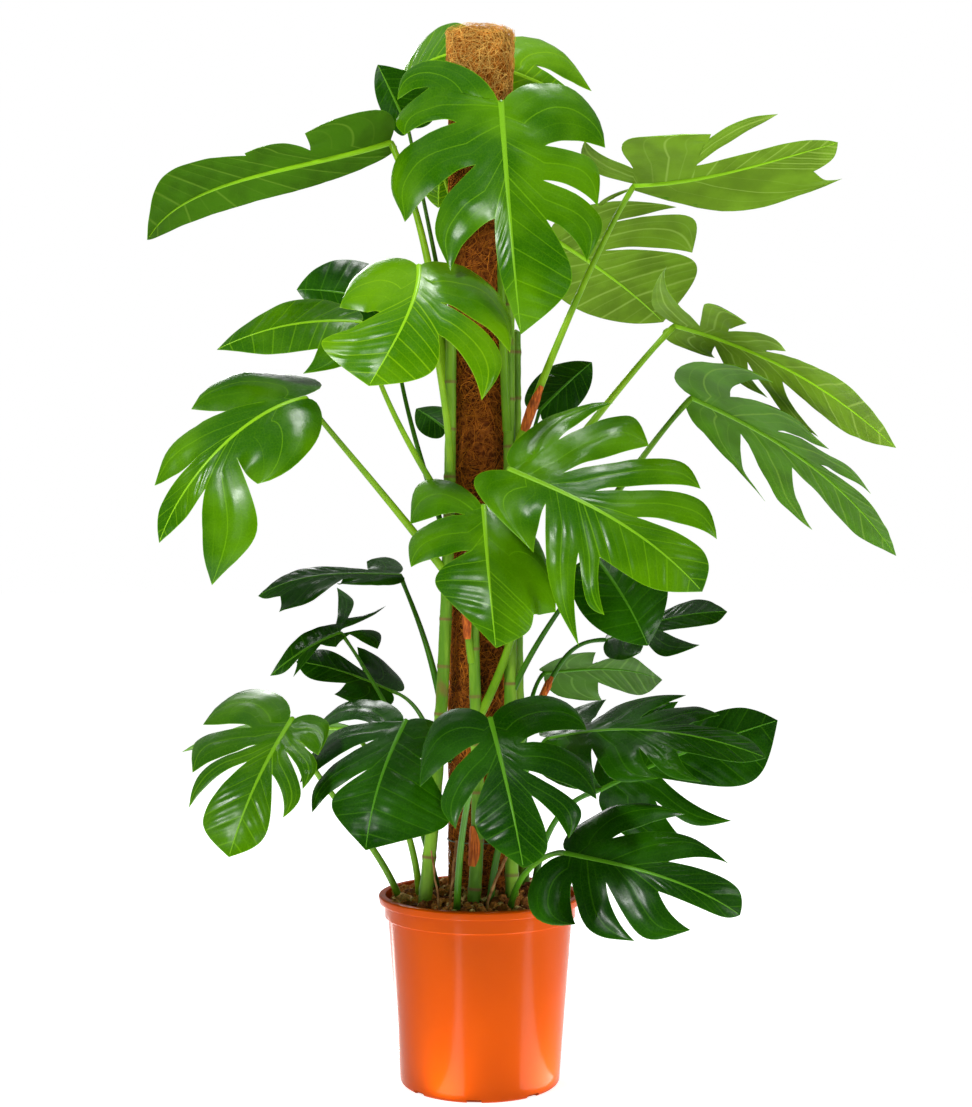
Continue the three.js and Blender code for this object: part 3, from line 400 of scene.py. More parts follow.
leaf(
    name="leaf_mid_left_narrow", stem="stem_left", height=508,
    stalk=[(-70, 20, 586), (-91, 40, 629)], tone=0.2,
    at=(-109, 40, 674), tip=(-292, -30, 646), face=(-0.1, -0.5, 0.9),
    arch=(10, 25), fold=(0, 5), curl=(1, 5), back=(8, 8),
    left=[(50, -16), (20, 16), (6, 20), (18, 68)],
    right=[(16, 22), (12, 48), (7, 42), (28, 72), (26, 94), (11, 88), (7, 98)],
)
leaf(
    name="leaf_mid_left_small", stem="stem_left", height=394,
    stalk=[(-125, -30, 509), (-156, -20, 559)], tone=0.25,
    at=(-184, -20, 598), tip=(-269, -90, 545), face=(-0.2, -0.95, 0.3),
    arch=(20, 25), fold=(5, 5), curl=(5, 5), back=(10, 45),
    left=[(2, -52), (14, -92), (15, -28), (38, -72), (64, -64), (13, -6), (22, 44)],
    right=[(16, -62), (33, -30), (6, -9), (9, 8), (14, 20), (4, 34), (12, 60), (17, 84), (4, 66),
      (10, 88)],
)
leaf(
    name="leaf_mid_left_flat", stem="stem_left", height=430,
    stalk=[(-73, -10, 507)], tone=0.3,
    at=(-119, 10, 518), tip=(-243, -20, 559), face=(0, -0.7, 0.8),
    arch=(10, 15), fold=(5, 5), curl=(5, 5), back=(25, 12),
    left=[(60, -10), (44, 40), (12, 32), (34, 80)],
    right=[(40, 8), (30, 58), (13, 48), (24, 88)],
)
leaf(
    name="leaf_low_left", foot=(-98, 36, 180),
    stalk=[(-97, -60, 268), (-133, 0, 320), (-245, 0, 413)], tone=0.5,
    at=(-231, -180, 499), tip=(-289, -320, 351), face=(-0.1, -0.9, 0.5),
    arch=(15, 25), fold=(5, 5), curl=(18, 15), back=(22, 10), hollow=0.2,
    left=[(66, -54), (56, 4), (20, 12), (62, 10), (42, 50), (11, 26), (42, 48), (34, 76), (11, 40),
      (30, 86)],
    right=[(26, -20), (24, 22), (9, 16), (30, 26), (25, 50), (7, 27), (30, 54), (21, 71), (6, 46),
      (21, 88)],
)
leaf(
    name="leaf_low_left_back", foot=(-82, 22, 180),
    stalk=[(-74, -50, 281), (-86, -50, 327), (-110, -60, 408)], tone=0.6,
    at=(-174, 15, 468), tip=(-387, -60, 444), face=(0, 0.3, 0.9),
    arch=(10, 20), fold=(0, 0), curl=(5, 5), back=(5, 5),
    left=[(50, 0), (48, 40), (18, 22), (42, 70)],
    right=[(28, 10), (22, 40), (8, 30), (24, 78)],
)
leaf(
    name="leaf_low_centre_left", foot=(-48, 12, 180),
    stalk=[(-50, 10, 265), (-82, -5, 345), (-105, -80, 423)], tone=0.15,
    at=(-92, -150, 494), tip=(-133, -290, 354), face=(-0.2, -0.8, 0.6),
    arch=(15, 30), fold=(5, 5), curl=(18, 20), back=(16, 8), hollow=0.2,
    left=[(70, -64), (70, -14), (24, 0), (68, -4), (58, 46), (14, 18), (50, 44), (40, 76), (8, 45),
      (38, 70)],
    right=[(42, -10), (36, 30), (18, 33), (60, 80)],
)
leaf(
    name="leaf_low_centre", foot=(-34, -84, 180),
    stalk=[(-24, -90, 255), (-35, -120, 326), (-12, -190, 424)], tone=0.25,
    at=(13, -250, 506), tip=(50, -380, 349), face=(0, -0.9, 0.5),
    arch=(15, 30), fold=(5, 5), curl=(25, 25), back=(14, 12), hollow=0.15,
    left=[(41, -42), (48, 30), (9, 17), (44, 44), (32, 70), (8, 40), (28, 74)],
    right=[(60, -46), (58, 2), (13, 22), (58, 22), (50, 62), (11, 42), (46, 70), (28, 88), (12, 60),
      (19, 96)],
)
leaf(
    name="leaf_low_right", foot=(14, -84, 180),
    stalk=[(7, -60, 278), (26, -80, 346), (51, -100, 425)], tone=0.25,
    at=(87, -120, 468), tip=(352, -190, 451), face=(0.1, -0.5, 0.9),
    arch=(20, 20), fold=(5, 5), curl=(5, 1), back=(12, 12), hollow=0.15,
    left=[(42, 8), (40, 33), (13, 23), (38, 36), (31, 57), (13, 45), (30, 60), (29, 76), (12, 62),
      (12, 90)],
    right=[(38, -8), (32, 20), (9, 18), (38, 32), (38, 58), (11, 41), (34, 62), (24, 76), (10, 64),
      (15, 92)],
)
leaf(
    name="leaf_low_over_rim", foot=(44, -92, 180),
    stalk=[(26, -60, 258), (51, -110, 299), (81, -180, 336)], tone=0.25,
    at=(103, -230, 341), tip=(303, -310, 282), face=(0, -0.8, 0.6),
    arch=(15, 35), fold=(5, 5), curl=(15, 5), back=(14, 10), hollow=0.2,
    left=[(50, -20), (36, 20), (15, 10), (42, 26), (36, 54), (11, 28), (40, 58), (20, 80), (8, 56),
      (8, 94)],
    right=[(54, 0), (42, 50), (15, 20), (34, 46), (23, 84), (10, 54), (17, 98)],
)
leaf(
    name="leaf_low_right_back", foot=(70, -8, 180),
    stalk=[(66, -10, 262), (79, -20, 350), (112, -40, 379)], tone=0.15,
    at=(157, -40, 392), tip=(384, -80, 487), face=(0.1, -0.9, 0.4),
    arch=(20, 20), fold=(5, 5), curl=(10, 10), back=(8, 8), hollow=0.15,
    left=[(38, 0), (44, 34), (17, 26), (38, 38), (40, 60), (8, 34), (35, 80)],
    right=[(42, 16), (27, 56), (12, 40), (17, 86)],
)
leaf(
    name="leaf_mid_right", stem="stem_back_right", height=450,
    stalk=[(107, 40, 556), (116, 40, 585)], tone=0.15,
    at=(171, 40, 585), tip=(327, -20, 625), face=(0.1, -0.6, 0.9),
    arch=(10, 15), fold=(5, 5), curl=(1, 1), back=(6, 6),
    left=[(38, 6), (32, 32), (16, 34), (50, 50), (38, 82), (14, 50), (18, 94)],
    right=[(42, 0), (26, 36), (8, 34), (32, 78)],
)
leaf(
    name="leaf_mid_right_back", stem="stem_back_right", height=392,
    stalk=[(65, 100, 518)], tone=0.15,
    at=(91, 130, 535), tip=(249, 60, 529), face=(0.1, 0.5, 0.8),
    arch=(10, 20), fold=(5, 5), curl=(1, 1), back=(8, 6),
    left=[(40, 16), (32, 52), (9, 42), (40, 86)],
    right=[(46, -4), (46, 34), (20, 38), (46, 72)],
)
leaf(
    name="leaf_upper_left_back", stem="stem_left", height=994,
    stalk=[(-75, 60, 1178)], tone=0.3,
    at=(-98, 50, 1281), tip=(-139, 45, 1366), face=(-0.2, -0.9, 0.4),
    arch=(10, 10), fold=(5, 5), curl=(5, 5), back=(20, 20),
    left=[(74, 42)],
    right=[(32, 66)],
)
leaf(
    name="leaf_shoulder_back", stem="stem_left", height=722,
    stalk=[(-74, -10, 814), (-121, 20, 949)], tone=0.2,
    at=(-115, 35, 1038), tip=(-246, 15, 1056), face=(-0.2, -0.9, 0.4),
    arch=(10, 20), fold=(5, 5), curl=(10, 10), back=(20, 20),
    left=[(62, 70)],
    right=[(45, 62)],
)

# ---- Curves and noise -----------------------------------------------------------------------
def bend(points, t):
    """Points at the shares t of a smooth curve from the first point to the last."""
    t = np.asarray(t, float)[..., None]
    layers = [np.asarray(point, float) for point in points]
    while len(layers) > 1:
        layers = [a + (b - a) * t for a, b in zip(layers, layers[1:])]
    return layers[0]


def unit(vectors):
    vectors = np.asarray(vectors, float)
    return vectors / np.linalg.norm(vectors, axis=-1, keepdims=True)


def walk(points, steps, start=0.0, end=1.0):
    """Evenly spaced points of a bend, between two shares of its length."""
    fine = bend(points, np.linspace(0, 1, 400))
    gone = np.concatenate([[0], np.cumsum(np.linalg.norm(np.diff(fine, axis=0), axis=1))])
    wanted = np.linspace(start, end, steps + 1) * gone[-1]
    return np.stack([np.interp(wanted, gone, fine[:, axis]) for axis in range(3)], axis=-1)


def length_of(path):
    return np.linalg.norm(np.diff(path, axis=0), axis=1).sum()


def waves(points, size, height, seed):
    """Smooth noise up and down, with bumps of about the given size and height."""
    rng = np.random.default_rng(seed)
    points = np.asarray(points, float)
    total = np.zeros(points.shape[:-1])
    for _ in range(WAVE_COUNT):
        direction = unit(rng.normal(size=points.shape[-1])) * WHOLE_TURN / (size * rng.uniform(0.7, 1.6))
        total += np.sin(points @ direction + rng.uniform(0, WHOLE_TURN))
    return total / math.sqrt(WAVE_COUNT) * height


def smooth_step(low, high, values):
    share = np.clip((np.asarray(values, float) - low) / (high - low), 0, 1)
    return share * share * (3 - 2 * share)


# ---- Meshes ---------------------------------------------------------------------------------
class Shape:
    """Points, faces and named numbers for each point, gathered from several closed forms."""

    def __init__(self):
        self.points = []
        self.faces = []
        self.looks = []
        self.numbers = {}
        self.count = 0

    def add(self, points, faces, look=0, **numbers):
        """look is the material of the faces, one for all or one for each.

        All forms of a shape give the same numbers.
        """
        points = np.asarray(points, float).reshape(-1, 3)
        looks = np.broadcast_to(look, len(faces))
        for name, values in numbers.items():
            here = np.broadcast_to(np.asarray(values, float), len(points))
            self.numbers.setdefault(name, []).append(here)
        self.faces += [[corner + self.count for corner in face] for face in faces]
        self.looks += list(looks)
        self.points.append(points)
        self.count += len(points)

    def piece(self, name, node, slot, materials, sharp=40):
        mesh = bpy.data.meshes.new(name)
        mesh.from_pydata((np.concatenate(self.points) * MM).tolist(), [], self.faces)
        for material in materials:
            mesh.materials.append(material)
        mesh.polygons.foreach_set("material_index", [int(look) for look in self.looks])
        mesh.polygons.foreach_set("use_smooth", [True] * len(self.faces))
        for number, parts in self.numbers.items():
            values = mesh.attributes.new(number, "FLOAT", "POINT")
            values.data.foreach_set("value", np.concatenate(parts))
        mesh.set_sharp_from_angle(angle=math.radians(sharp))
        mesh.update()
        piece = bpy.data.objects.new(name, mesh)
        bpy.context.scene.collection.objects.link(piece)
        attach(piece, "root")
        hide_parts(node)
        return piece


def closed_piece(name, node, slot, look, form, sharp=40, **numbers):
    """A piece that is one closed form of one material."""
    shape = Shape()
    shape.add(*form, **numbers)
    return shape.piece(name, node, slot, [look], sharp)


def grid_faces(rows, columns, closed=False):
    """Quads between rows of points, with each row closed into a ring if asked."""
    faces = []
    for row in range(rows - 1):
        for column in range(columns if closed else columns - 1):
            after = (column + 1) % columns
            low, high = row * columns, (row + 1) * columns
            faces.append([low + column, low + after, high + after, high + column])
    return faces


def ring_faces(rings, sides):
    """Quads between rings, and triangles that close both ends round two points after them all."""
    last, count = (rings - 1) * sides, rings * sides
    fans = [[(i + 1) % sides, i, count] for i in range(sides)]
    fans += [[last + i, last + (i + 1) % sides, count + 1] for i in range(sides)]
    return grid_faces(rings, sides, closed=True) + fans


def open_edges(faces):
    """The edges that one face alone has, in its direction."""
    edges = {edge for face in faces for edge in zip(face, face[1:] + face[:1])}
    return [edge for edge in sorted(edges) if edge[::-1] not in edges]


def around(sides):
    return np.arange(sides) * WHOLE_TURN / sides


def frames_along(path, hint):
    """Directions along a path and two across it, with the first of these held near the hint."""
    along = unit(np.gradient(path, axis=0))
    side = np.empty_like(along)
    carried = np.asarray(hint, float)
    for i, direction in enumerate(along):
        carried = unit(carried - carried.dot(direction) * direction)
        side[i] = carried
    return along, side, np.cross(along, side)


def tube(path, radii, sides, outline=None):
    """A closed tube along a path. outline gives each side's share of the radius."""
    along, side, other = frames_along(path, NEARLY_UP)
    angles = around(sides)
    share = np.ones(sides) if outline is None else outline(angles)
    radii = np.broadcast_to(np.asarray(radii, float), len(path))[:, None, None]
    ring = (np.cos(angles) * share)[None, :, None] * side[:, None]
    ring = ring + (np.sin(angles) * share)[None, :, None] * other[:, None]
    points = path[:, None] + ring * radii
    ends = np.stack([path[0] - along[0] * radii[0, 0] * 0.3, path[-1] + along[-1] * radii[-1, 0] * 0.6])
    return np.concatenate([points.reshape(-1, 3), ends]), ring_faces(len(path), sides)


def spun(profile, sides, closed=False):
    """A profile of (radius, height) turned round the z axis. An open one starts and ends on it."""
    profile = np.asarray(profile, float)
    rings = profile if closed else profile[1:-1]
    across = np.stack([np.cos(around(sides)), np.sin(around(sides))], axis=-1)
    heights = np.broadcast_to(rings[:, None, 1:], (len(rings), sides, 1))
    points = np.concatenate([rings[:, None, :1] * across, heights], axis=-1).reshape(-1, 3)
    if closed:
        last = len(points) - sides
        seam = [[last + i, last + (i + 1) % sides, (i + 1) % sides, i] for i in range(sides)]
        return points, grid_faces(len(rings), sides, closed=True) + seam
    ends = [(0, 0, profile[0, 1]), (0, 0, profile[-1, 1])]
    return np.concatenate([points, ends]), ring_faces(len(rings), sides)


def arc(across, up, radius, start, end, steps):
    angles = np.radians(np.linspace(start, end, steps + 1))
    return [(across + radius * math.cos(angle), up + radius * math.sin(angle)) for angle in angles]


def surface_normals(points, faces):
    """Directions out of an open sheet of triangles or quads at its points."""
    normals = np.zeros_like(points)
    for size in (3, 4):
        corners = np.array([face for face in faces if len(face) == size])
        if len(corners):
            first = points[corners[:, 1]] - points[corners[:, 0]]
            second = points[corners[:, 2]] - points[corners[:, 0]]
            turn = np.cross(first, second)
            for column in range(size):
                np.add.at(normals, corners[:, column], turn)
    return unit(normals + 1e-12)


def thickened(points, faces, thickness):
    """Both skins of a sheet and its edge. The last value says which faces are on the lower skin."""
    normals = surface_normals(points, faces)
    offset = normals * np.broadcast_to(thickness, len(points))[:, None] / 2
    count = len(points)
    lower = [[corner + count for corner in reversed(face)] for face in faces]
    rim = [[b, a, a + count, b + count] for a, b in open_edges(faces)]
    sides = [0] * len(faces) + [1] * len(lower) + [0] * len(rim)
    return np.concatenate([points + offset, points - offset]), faces + lower + rim, sides


# ---- Leaf form ------------------------------------------------------------------------------
class Midrib:
    """The curve that a blade is hung on."""

    def __init__(self, leaf):
        start, end = np.array(leaf.at, float), np.array(leaf.tip, float)
        chord = end - start
        along = unit(chord)
        up = np.array(leaf.face, float)
        up = unit(up - up.dot(along) * along)
        self.across = np.cross(along, up)
        reach = MIDRIB_BOW * np.linalg.norm(chord)
        rise, fall = np.radians(leaf.arch)
        sideways = self.across * np.linalg.norm(chord) * leaf.sway / 100
        lift = [up * math.sin(angle) * reach + sideways for angle in (rise, fall)]
        near = start + along * reach * math.cos(rise) + lift[0]
        far = end - along * reach * math.cos(fall) + lift[1]
        self.points = [start, near, far, end]
        self.length = length_of(bend(self.points, np.linspace(0, 1, 201)))
        self.stalk_radius = THINNEST_STALK + STALK_GROWTH * self.length

    def frame(self, shares):
        """Place, direction along, direction across and direction up at shares of the curve."""
        steps = [b - a for a, b in zip(self.points, self.points[1:])]
        along = unit(bend(steps, shares))
        across = unit(self.across - (along @ self.across)[..., None] * along)
        return bend(self.points, shares), along, across, np.cross(across, along)


def bladed(leaf, midrib, half, flat):
    """Places on the blade of flat points, which are in percent of the midrib's length."""
    x, y = flat[:, 0] * midrib.length / 100, flat[:, 1] / 100
    shares = np.clip(y, 0, 1)
    place, along, across, up = midrib.frame(shares)
    fold = math.radians(leaf.fold[half])
    turn = math.radians(leaf.curl[half]) / (midrib.length / 2)
    out = (np.sin(fold + turn * x) - math.sin(fold)) / turn
    down = (math.cos(fold) - np.cos(fold + turn * x)) / turn
    side = 1 if half == 0 else -1
    beyond = ((y - shares) * midrib.length)[:, None] * along
    return place + beyond + side * out[:, None] * across - down[:, None] * up


def towards(start, corner, end, strength):
    """A flat curve between two points that is drawn towards a corner."""
    return [start, start + (corner - start) * strength, end + (corner - end) * strength, end]


def lobes_of(leaf, midrib, half):
    """The near and far edges of each lobe and their feet on the midrib, and the end's rim."""
    points = [np.array(point, float) for point in (leaf.left, leaf.right)[half]]
    back = leaf.back[half]
    slot = np.array([100 * midrib.stalk_radius / midrib.length, 0])
    foot = 0
    lobes = []
    for i in range(0, len(points) - 1, 3):
        shoulder, tip, following = points[i:i + 3]
        basal = [slot, np.array([EAR_SPREAD, -EAR_REACH * back]), shoulder, tip]
        near = towards(slot, shoulder, tip, SHOULDER_PULL) if i else basal
        edge = tip - following
        hollow = following + edge / 2 + leaf.hollow * np.array([edge[1], -edge[0]])
        far = towards(following, hollow, tip, HOLLOW_PULL)
        next_foot = max(foot + LEAST_FOOT, min(FOOT_SHARE * following[1] + 1, LAST_FOOT))
        lobes.append((near, far, foot, next_foot))
        slot, foot = following, next_foot
    shoulder, tip = points[-1], np.array([0.0, 100.0])
    ear = np.array([WHOLE_EAR_SPREAD * shoulder[0], -WHOLE_EAR_REACH * back])
    whole = [slot, ear, shoulder * np.array([WHOLE_BULGE, 1]), tip]
    rim = towards(slot, shoulder, tip, SHOULDER_PULL) if lobes else whole
    return lobes, rim, foot


class HalfBlade:
    """The points of one half, welded where its parts meet.

    Each has its flat place, the distances to the nearest vein and minor vein, and its droop.
    """

    def __init__(self, scale):
        self.scale = scale           # millimetres in one percent of the midrib
        self.places = {}
        self.points = []
        self.faces = []

    def point(self, point):
        key = (round(point[0], 2), round(point[1], 2))
        index = self.places.setdefault(key, len(self.points))
        if index == len(self.points):
            self.points.append(point)
        here = self.points[index]
        here[2:4] = np.minimum(here[2:4], point[2:4])
        return index

    def patch(self, flat, *measures):
        """Welds in a grid of points."""
        grid = np.concatenate([flat, np.stack(measures, axis=-1)], axis=-1)
        ids = [self.point(point) for row in grid for point in row]
        for face in grid_faces(*grid.shape[:2]):
            corners = [ids[corner] for corner in face]
            corners = [corner for i, corner in enumerate(corners) if corner != corners[i - 1]]
            if len(corners) > 2:
                self.faces.append(corners)

    def lobe(self, near, far, foot, next_foot):
        across = np.linspace(0, 1, LOBE_ROWS + 1)[:, None, None]
        outer = np.linspace(0, 1, LOBE_COLUMNS + 1)
        inner = (np.arange(INNER_COLUMNS) / INNER_COLUMNS)[None, :, None]
        beyond = bend(near, outer)[None] * (1 - across) + bend(far, outer)[None] * across
        feet = np.concatenate([across * 0, foot + (next_foot - foot) * across], axis=-1)
        within = feet * (1 - inner) + beyond[:, :1] * inner
        flat = np.concatenate([within, beyond], axis=1)
        width = np.linalg.norm(flat[-1] - flat[0], axis=-1)[None] * self.scale
        share = across[..., 0]
        vein = np.abs(share - 0.5) * width
        minor = np.minimum(np.abs(share - 0.25), np.abs(share - 0.75)) * width
        ramp = np.concatenate([np.zeros(INNER_COLUMNS), outer])
        droop = LOBE_DROOP * width * (2 * share - 1) ** 2 * smooth_step(0, 0.5, ramp)[None]
        self.patch(flat, vein, minor, droop)

    def end(self, rim, foot, veins):
        rows = np.linspace(0, 1, END_ROWS + 1)
        columns = np.linspace(0, 1, END_COLUMNS + 1)[None, :, None]
        feet = np.stack([np.zeros(END_ROWS + 1), foot + (100 - foot) * rows], axis=-1)
        flat = feet[:, None] * (1 - columns) + bend(rim, rows)[:, None] * columns
        spacing = np.linalg.norm(np.gradient(flat, rows, axis=0), axis=-1) * self.scale
        places = np.round((np.arange(veins) + 0.4) / veins * END_ROWS) / END_ROWS
        between = np.round((np.arange(veins) + 0.9) / veins * END_ROWS) / END_ROWS
        vein = np.min(np.abs(rows[:, None] - places), axis=1)[:, None] * spacing
        minor = np.min(np.abs(rows[:, None] - between), axis=1)[:, None] * spacing
        self.patch(flat, vein, minor, vein * 0)


def rim_distance(flat, faces, scale):
    """How far each flat point is from the open edge, in millimetres."""
    rim = np.array(open_edges(faces))
    starts, ends = flat[rim[:, 0]], flat[rim[:, 1]]
    outer = (starts[:, 0] > 0.01) | (ends[:, 0] > 0.01)
    starts, ends = starts[outer], ends[outer]
    steps = ends - starts
    offset = flat[:, None] - starts[None]
    share = np.clip((offset * steps).sum(-1) / (steps ** 2).sum(-1), 0, 1)
    return np.linalg.norm(offset - share[..., None] * steps, axis=-1).min(axis=1) * scale


def half_blade(shape, leaf, midrib, half, seed):
    """Adds one half of a blade, with its veins sunk, the fields between them raised and a wavy rim."""
    scale = midrib.length / 100
    parts = HalfBlade(scale)
    lobes, rim, foot = lobes_of(leaf, midrib, half)
    for lobe in lobes:
        parts.lobe(*lobe)
    parts.end(rim, foot, END_VEINS if lobes else WHOLE_VEINS)
    table = np.array(parts.points)
    flat, (vein, minor, droop) = table[:, :2], table[:, 2:].T
    faces = [face if half == 0 else face[::-1] for face in parts.faces]
    edge = rim_distance(flat, faces, scale)
    rib = flat[:, 0] * scale
    points = bladed(leaf, midrib, half, flat)
    normals = surface_normals(points, faces)
    away = smooth_step(0, FLAT_RIM, edge) * smooth_step(2, FLAT_RIB, rib)
    quilt = smooth_step(0, VEIN_REACH, vein) + 0.5 * smooth_step(0, MINOR_REACH, minor) - 1
    sway = waves(points, *BLADE_WAVES, seed) * smooth_step(15, 60, rib)
    ripple = sway + waves(points, *BLADE_RIPPLES, seed + 1)
    lift = quilt * QUILT_HEIGHT * away + ripple * smooth_step(1, 8, rib) - droop
    points = points + normals * lift[:, None]
    thickness = BLADE_THICKNESS * (RIM_SHARE + (1 - RIM_SHARE) * smooth_step(0, 6, edge))
    points, faces, sides = thickened(points, faces, thickness)
    numbers = {"vein": vein, "minor": minor, "rim": edge, "rib": rib}
    numbers = {name: np.tile(values, 2) for name, values in numbers.items()}
    shape.add(points, faces, sides, tone=leaf.tone, **numbers)


def midrib_ridge(leaf, midrib):
    """The rib: a low rounded ridge above the blade and a deeper one below it."""
    shares = np.linspace(0, RIB_END, RIB_STEPS + 1)
    place, _, across, up = midrib.frame(shares)
    width = midrib.stalk_radius * (1 - shares) ** 0.9 + RIB_TIP_WIDTH
    fold = math.sin(math.radians(max(*leaf.fold, 0)))
    top = BLADE_THICKNESS / 2 + RIB_RISE + width * fold
    bottom = midrib.stalk_radius * (1 - shares) + RIB_DEPTH + BLADE_THICKNESS / 2
    rise = np.sin(around(RIB_SIDES))
    lift = np.where(rise > 0, rise * top[:, None], rise * bottom[:, None])
    wide = np.cos(around(RIB_SIDES)) * width[:, None]
    points = place[:, None] + wide[..., None] * across[:, None] + lift[..., None] * up[:, None]
    points = np.concatenate([points.reshape(-1, 3), place[:1], place[-1:]])
    return points, ring_faces(RIB_STEPS + 1, RIB_SIDES)


def stem_axis(name):
    top, line = STEMS[name]
    spacing = (top - STEM_FOOT) / (len(line) - 1)
    return [(x, y, STEM_FOOT + spacing * i) for i, (x, y) in enumerate(line)]


def stem_radius(shares):
    return STEM_RADIUS - STEM_TAPER * shares


def stalk_bends(leaf):
    """The points that a stalk's curve starts from, bends towards and reaches."""
    if leaf.foot:
        return [leaf.foot, *leaf.stalk, leaf.at]
    top = STEMS[leaf.stem][0]
    axis = bend(stem_axis(leaf.stem), (leaf.height - STEM_FOOT) / (top - STEM_FOOT))
    side = unit((np.array(leaf.stalk[0]) - axis) * (1, 1, 0))
    return [axis + side * STEM_RADIUS * 0.5, *leaf.stalk, leaf.at]


def stalk_radius(midrib, shares):
    return midrib.stalk_radius * (STALK_FOOT - (STALK_FOOT - 1) * shares)


def grooved(angles):
    """A round section with a shallow groove along its upper side."""
    return 1 - GROOVE * np.maximum(np.cos(angles), 0) ** 6


def leaf_stalk(leaf, midrib):
    """The stalk, with a knuckle just before the blade."""
    shares = np.linspace(0, 1, STALK_STEPS + 1)
    radii = stalk_radius(midrib, shares) * (1 + KNUCKLE * smooth_step(0.88, 0.97, shares))
    radii[-1] *= 0.8
    return tube(walk(stalk_bends(leaf), STALK_STEPS), radii, STALK_SIDES, outline=grooved)


def build_leaf(leaf, seed, looks):
    midrib = Midrib(leaf)
    tone = leaf.tone
    # The dark and middling kinds are partly painted shade, given to leaves that lie in shade.
    kind = "leaf_light" if tone >= LIGHT else "leaf_mid" if tone >= MIDDLING else "leaf_dark"
    blade = Shape()
    for half in (0, 1):
        half_blade(blade, leaf, midrib, half, seed + 10 * half)
    blade.piece(leaf.name + "_blade", leaf.name, kind, looks[kind])
    stalk = Shape()
    for rib, form in enumerate((leaf_stalk(leaf, midrib), midrib_ridge(leaf, midrib))):
        stalk.add(*form, tone=tone, rib=rib)
    stalk.piece(leaf.name + "_stalk", leaf.name, "stem_green", looks["stalk"])


# ---- Stems, sheaths and roots ---------------------------------------------------------------
def build_stem(name, look):
    """A stem with a raised ring where each old leaf stood."""
    top, _ = STEMS[name]
    steps = int((top - STEM_FOOT) / STEM_STEP)
    shares = np.linspace(0, 1, steps + 1)
    height = shares * (top - STEM_FOOT)
    seed = sorted(STEMS).index(name)
    place = (height / NODE_SPACING + RING_SHIFT * seed) % 1
    ring = np.minimum(place, 1 - place) * NODE_SPACING
    rise, dip = np.exp(-(ring / RING_WIDTH) ** 2), np.exp(-((ring - RING_WIDTH) / 2) ** 2)
    swell = 1 + RING_RISE * rise - RING_DIP * dip
    points, faces = tube(walk(stem_axis(name), steps), stem_radius(shares) * swell, STEM_SIDES)
    points = points + waves(points, *STEM_BUMPS, seed)[:, None] * unit(points * (1, 1, 0) + 1e-9)
    rings = np.concatenate([np.repeat(ring, STEM_SIDES), ring[:1], ring[-1:]])
    closed_piece(name + "_fine", name, "stem_green", look, (points, faces), ring=rings)


def build_sheath(name, look):
    """A dry husk: a wrinkled sheet that hugs a stalk or a stem and narrows towards both ends."""
    on, start, end, facing = SHEATHS[name]
    host = next((leaf for leaf in LEAVES if leaf.name == on), None)
    bends = stalk_bends(host) if host else stem_axis(on)
    path = walk(bends, SHEATH_STEPS, start, end)
    shares = np.linspace(start, end, SHEATH_STEPS + 1)
    radius = stalk_radius(Midrib(host), shares) if host else stem_radius(shares)
    front = (math.cos(math.radians(facing)), math.sin(math.radians(facing)), 0)
    _, side, other = frames_along(path, front)
    opening = SHEATH_OPENING * np.sin(math.pi * np.linspace(*SHEATH_TAPER, SHEATH_STEPS + 1))
    angles = opening[:, None] * np.linspace(-0.5, 0.5, SHEATH_SIDES + 1)
    seed = sorted(SHEATHS).index(name) + 40
    crease = 0.5 * np.sin(angles * SHEATH_CREASES + seed) + 0.5
    away = radius[:, None] * SHEATH_SLACK + SHEATH_GAP + crease * CREASE_DEPTH
    ring = np.cos(angles)[..., None] * side[:, None] + np.sin(angles)[..., None] * other[:, None]
    points = (path[:, None] + ring * away[..., None]).reshape(-1, 3)
    points = points + waves(points, *SHEATH_BUMPS, seed)[:, None] * ring.reshape(-1, 3)
    faces = grid_faces(SHEATH_STEPS + 1, SHEATH_SIDES + 1)
    form = thickened(points, faces, SHEATH_THICKNESS)[:2]
    closed_piece(name + "_fine", name, "dry_sheath", look, form)


def build_root(name, look):
    radius, line = ROOTS[name]
    path = walk(line, ROOT_STEPS)
    seed = sorted(ROOTS).index(name) + 60
    path = path + np.stack([waves(path, *ROOT_BENDS, seed + i) for i in range(3)], axis=-1)
    radii = radius * (0.9 + waves(path, *ROOT_BUMPS, seed))
    closed_piece(name + "_fine", name, "root_brown", look, tube(path, radii, ROOT_SIDES))


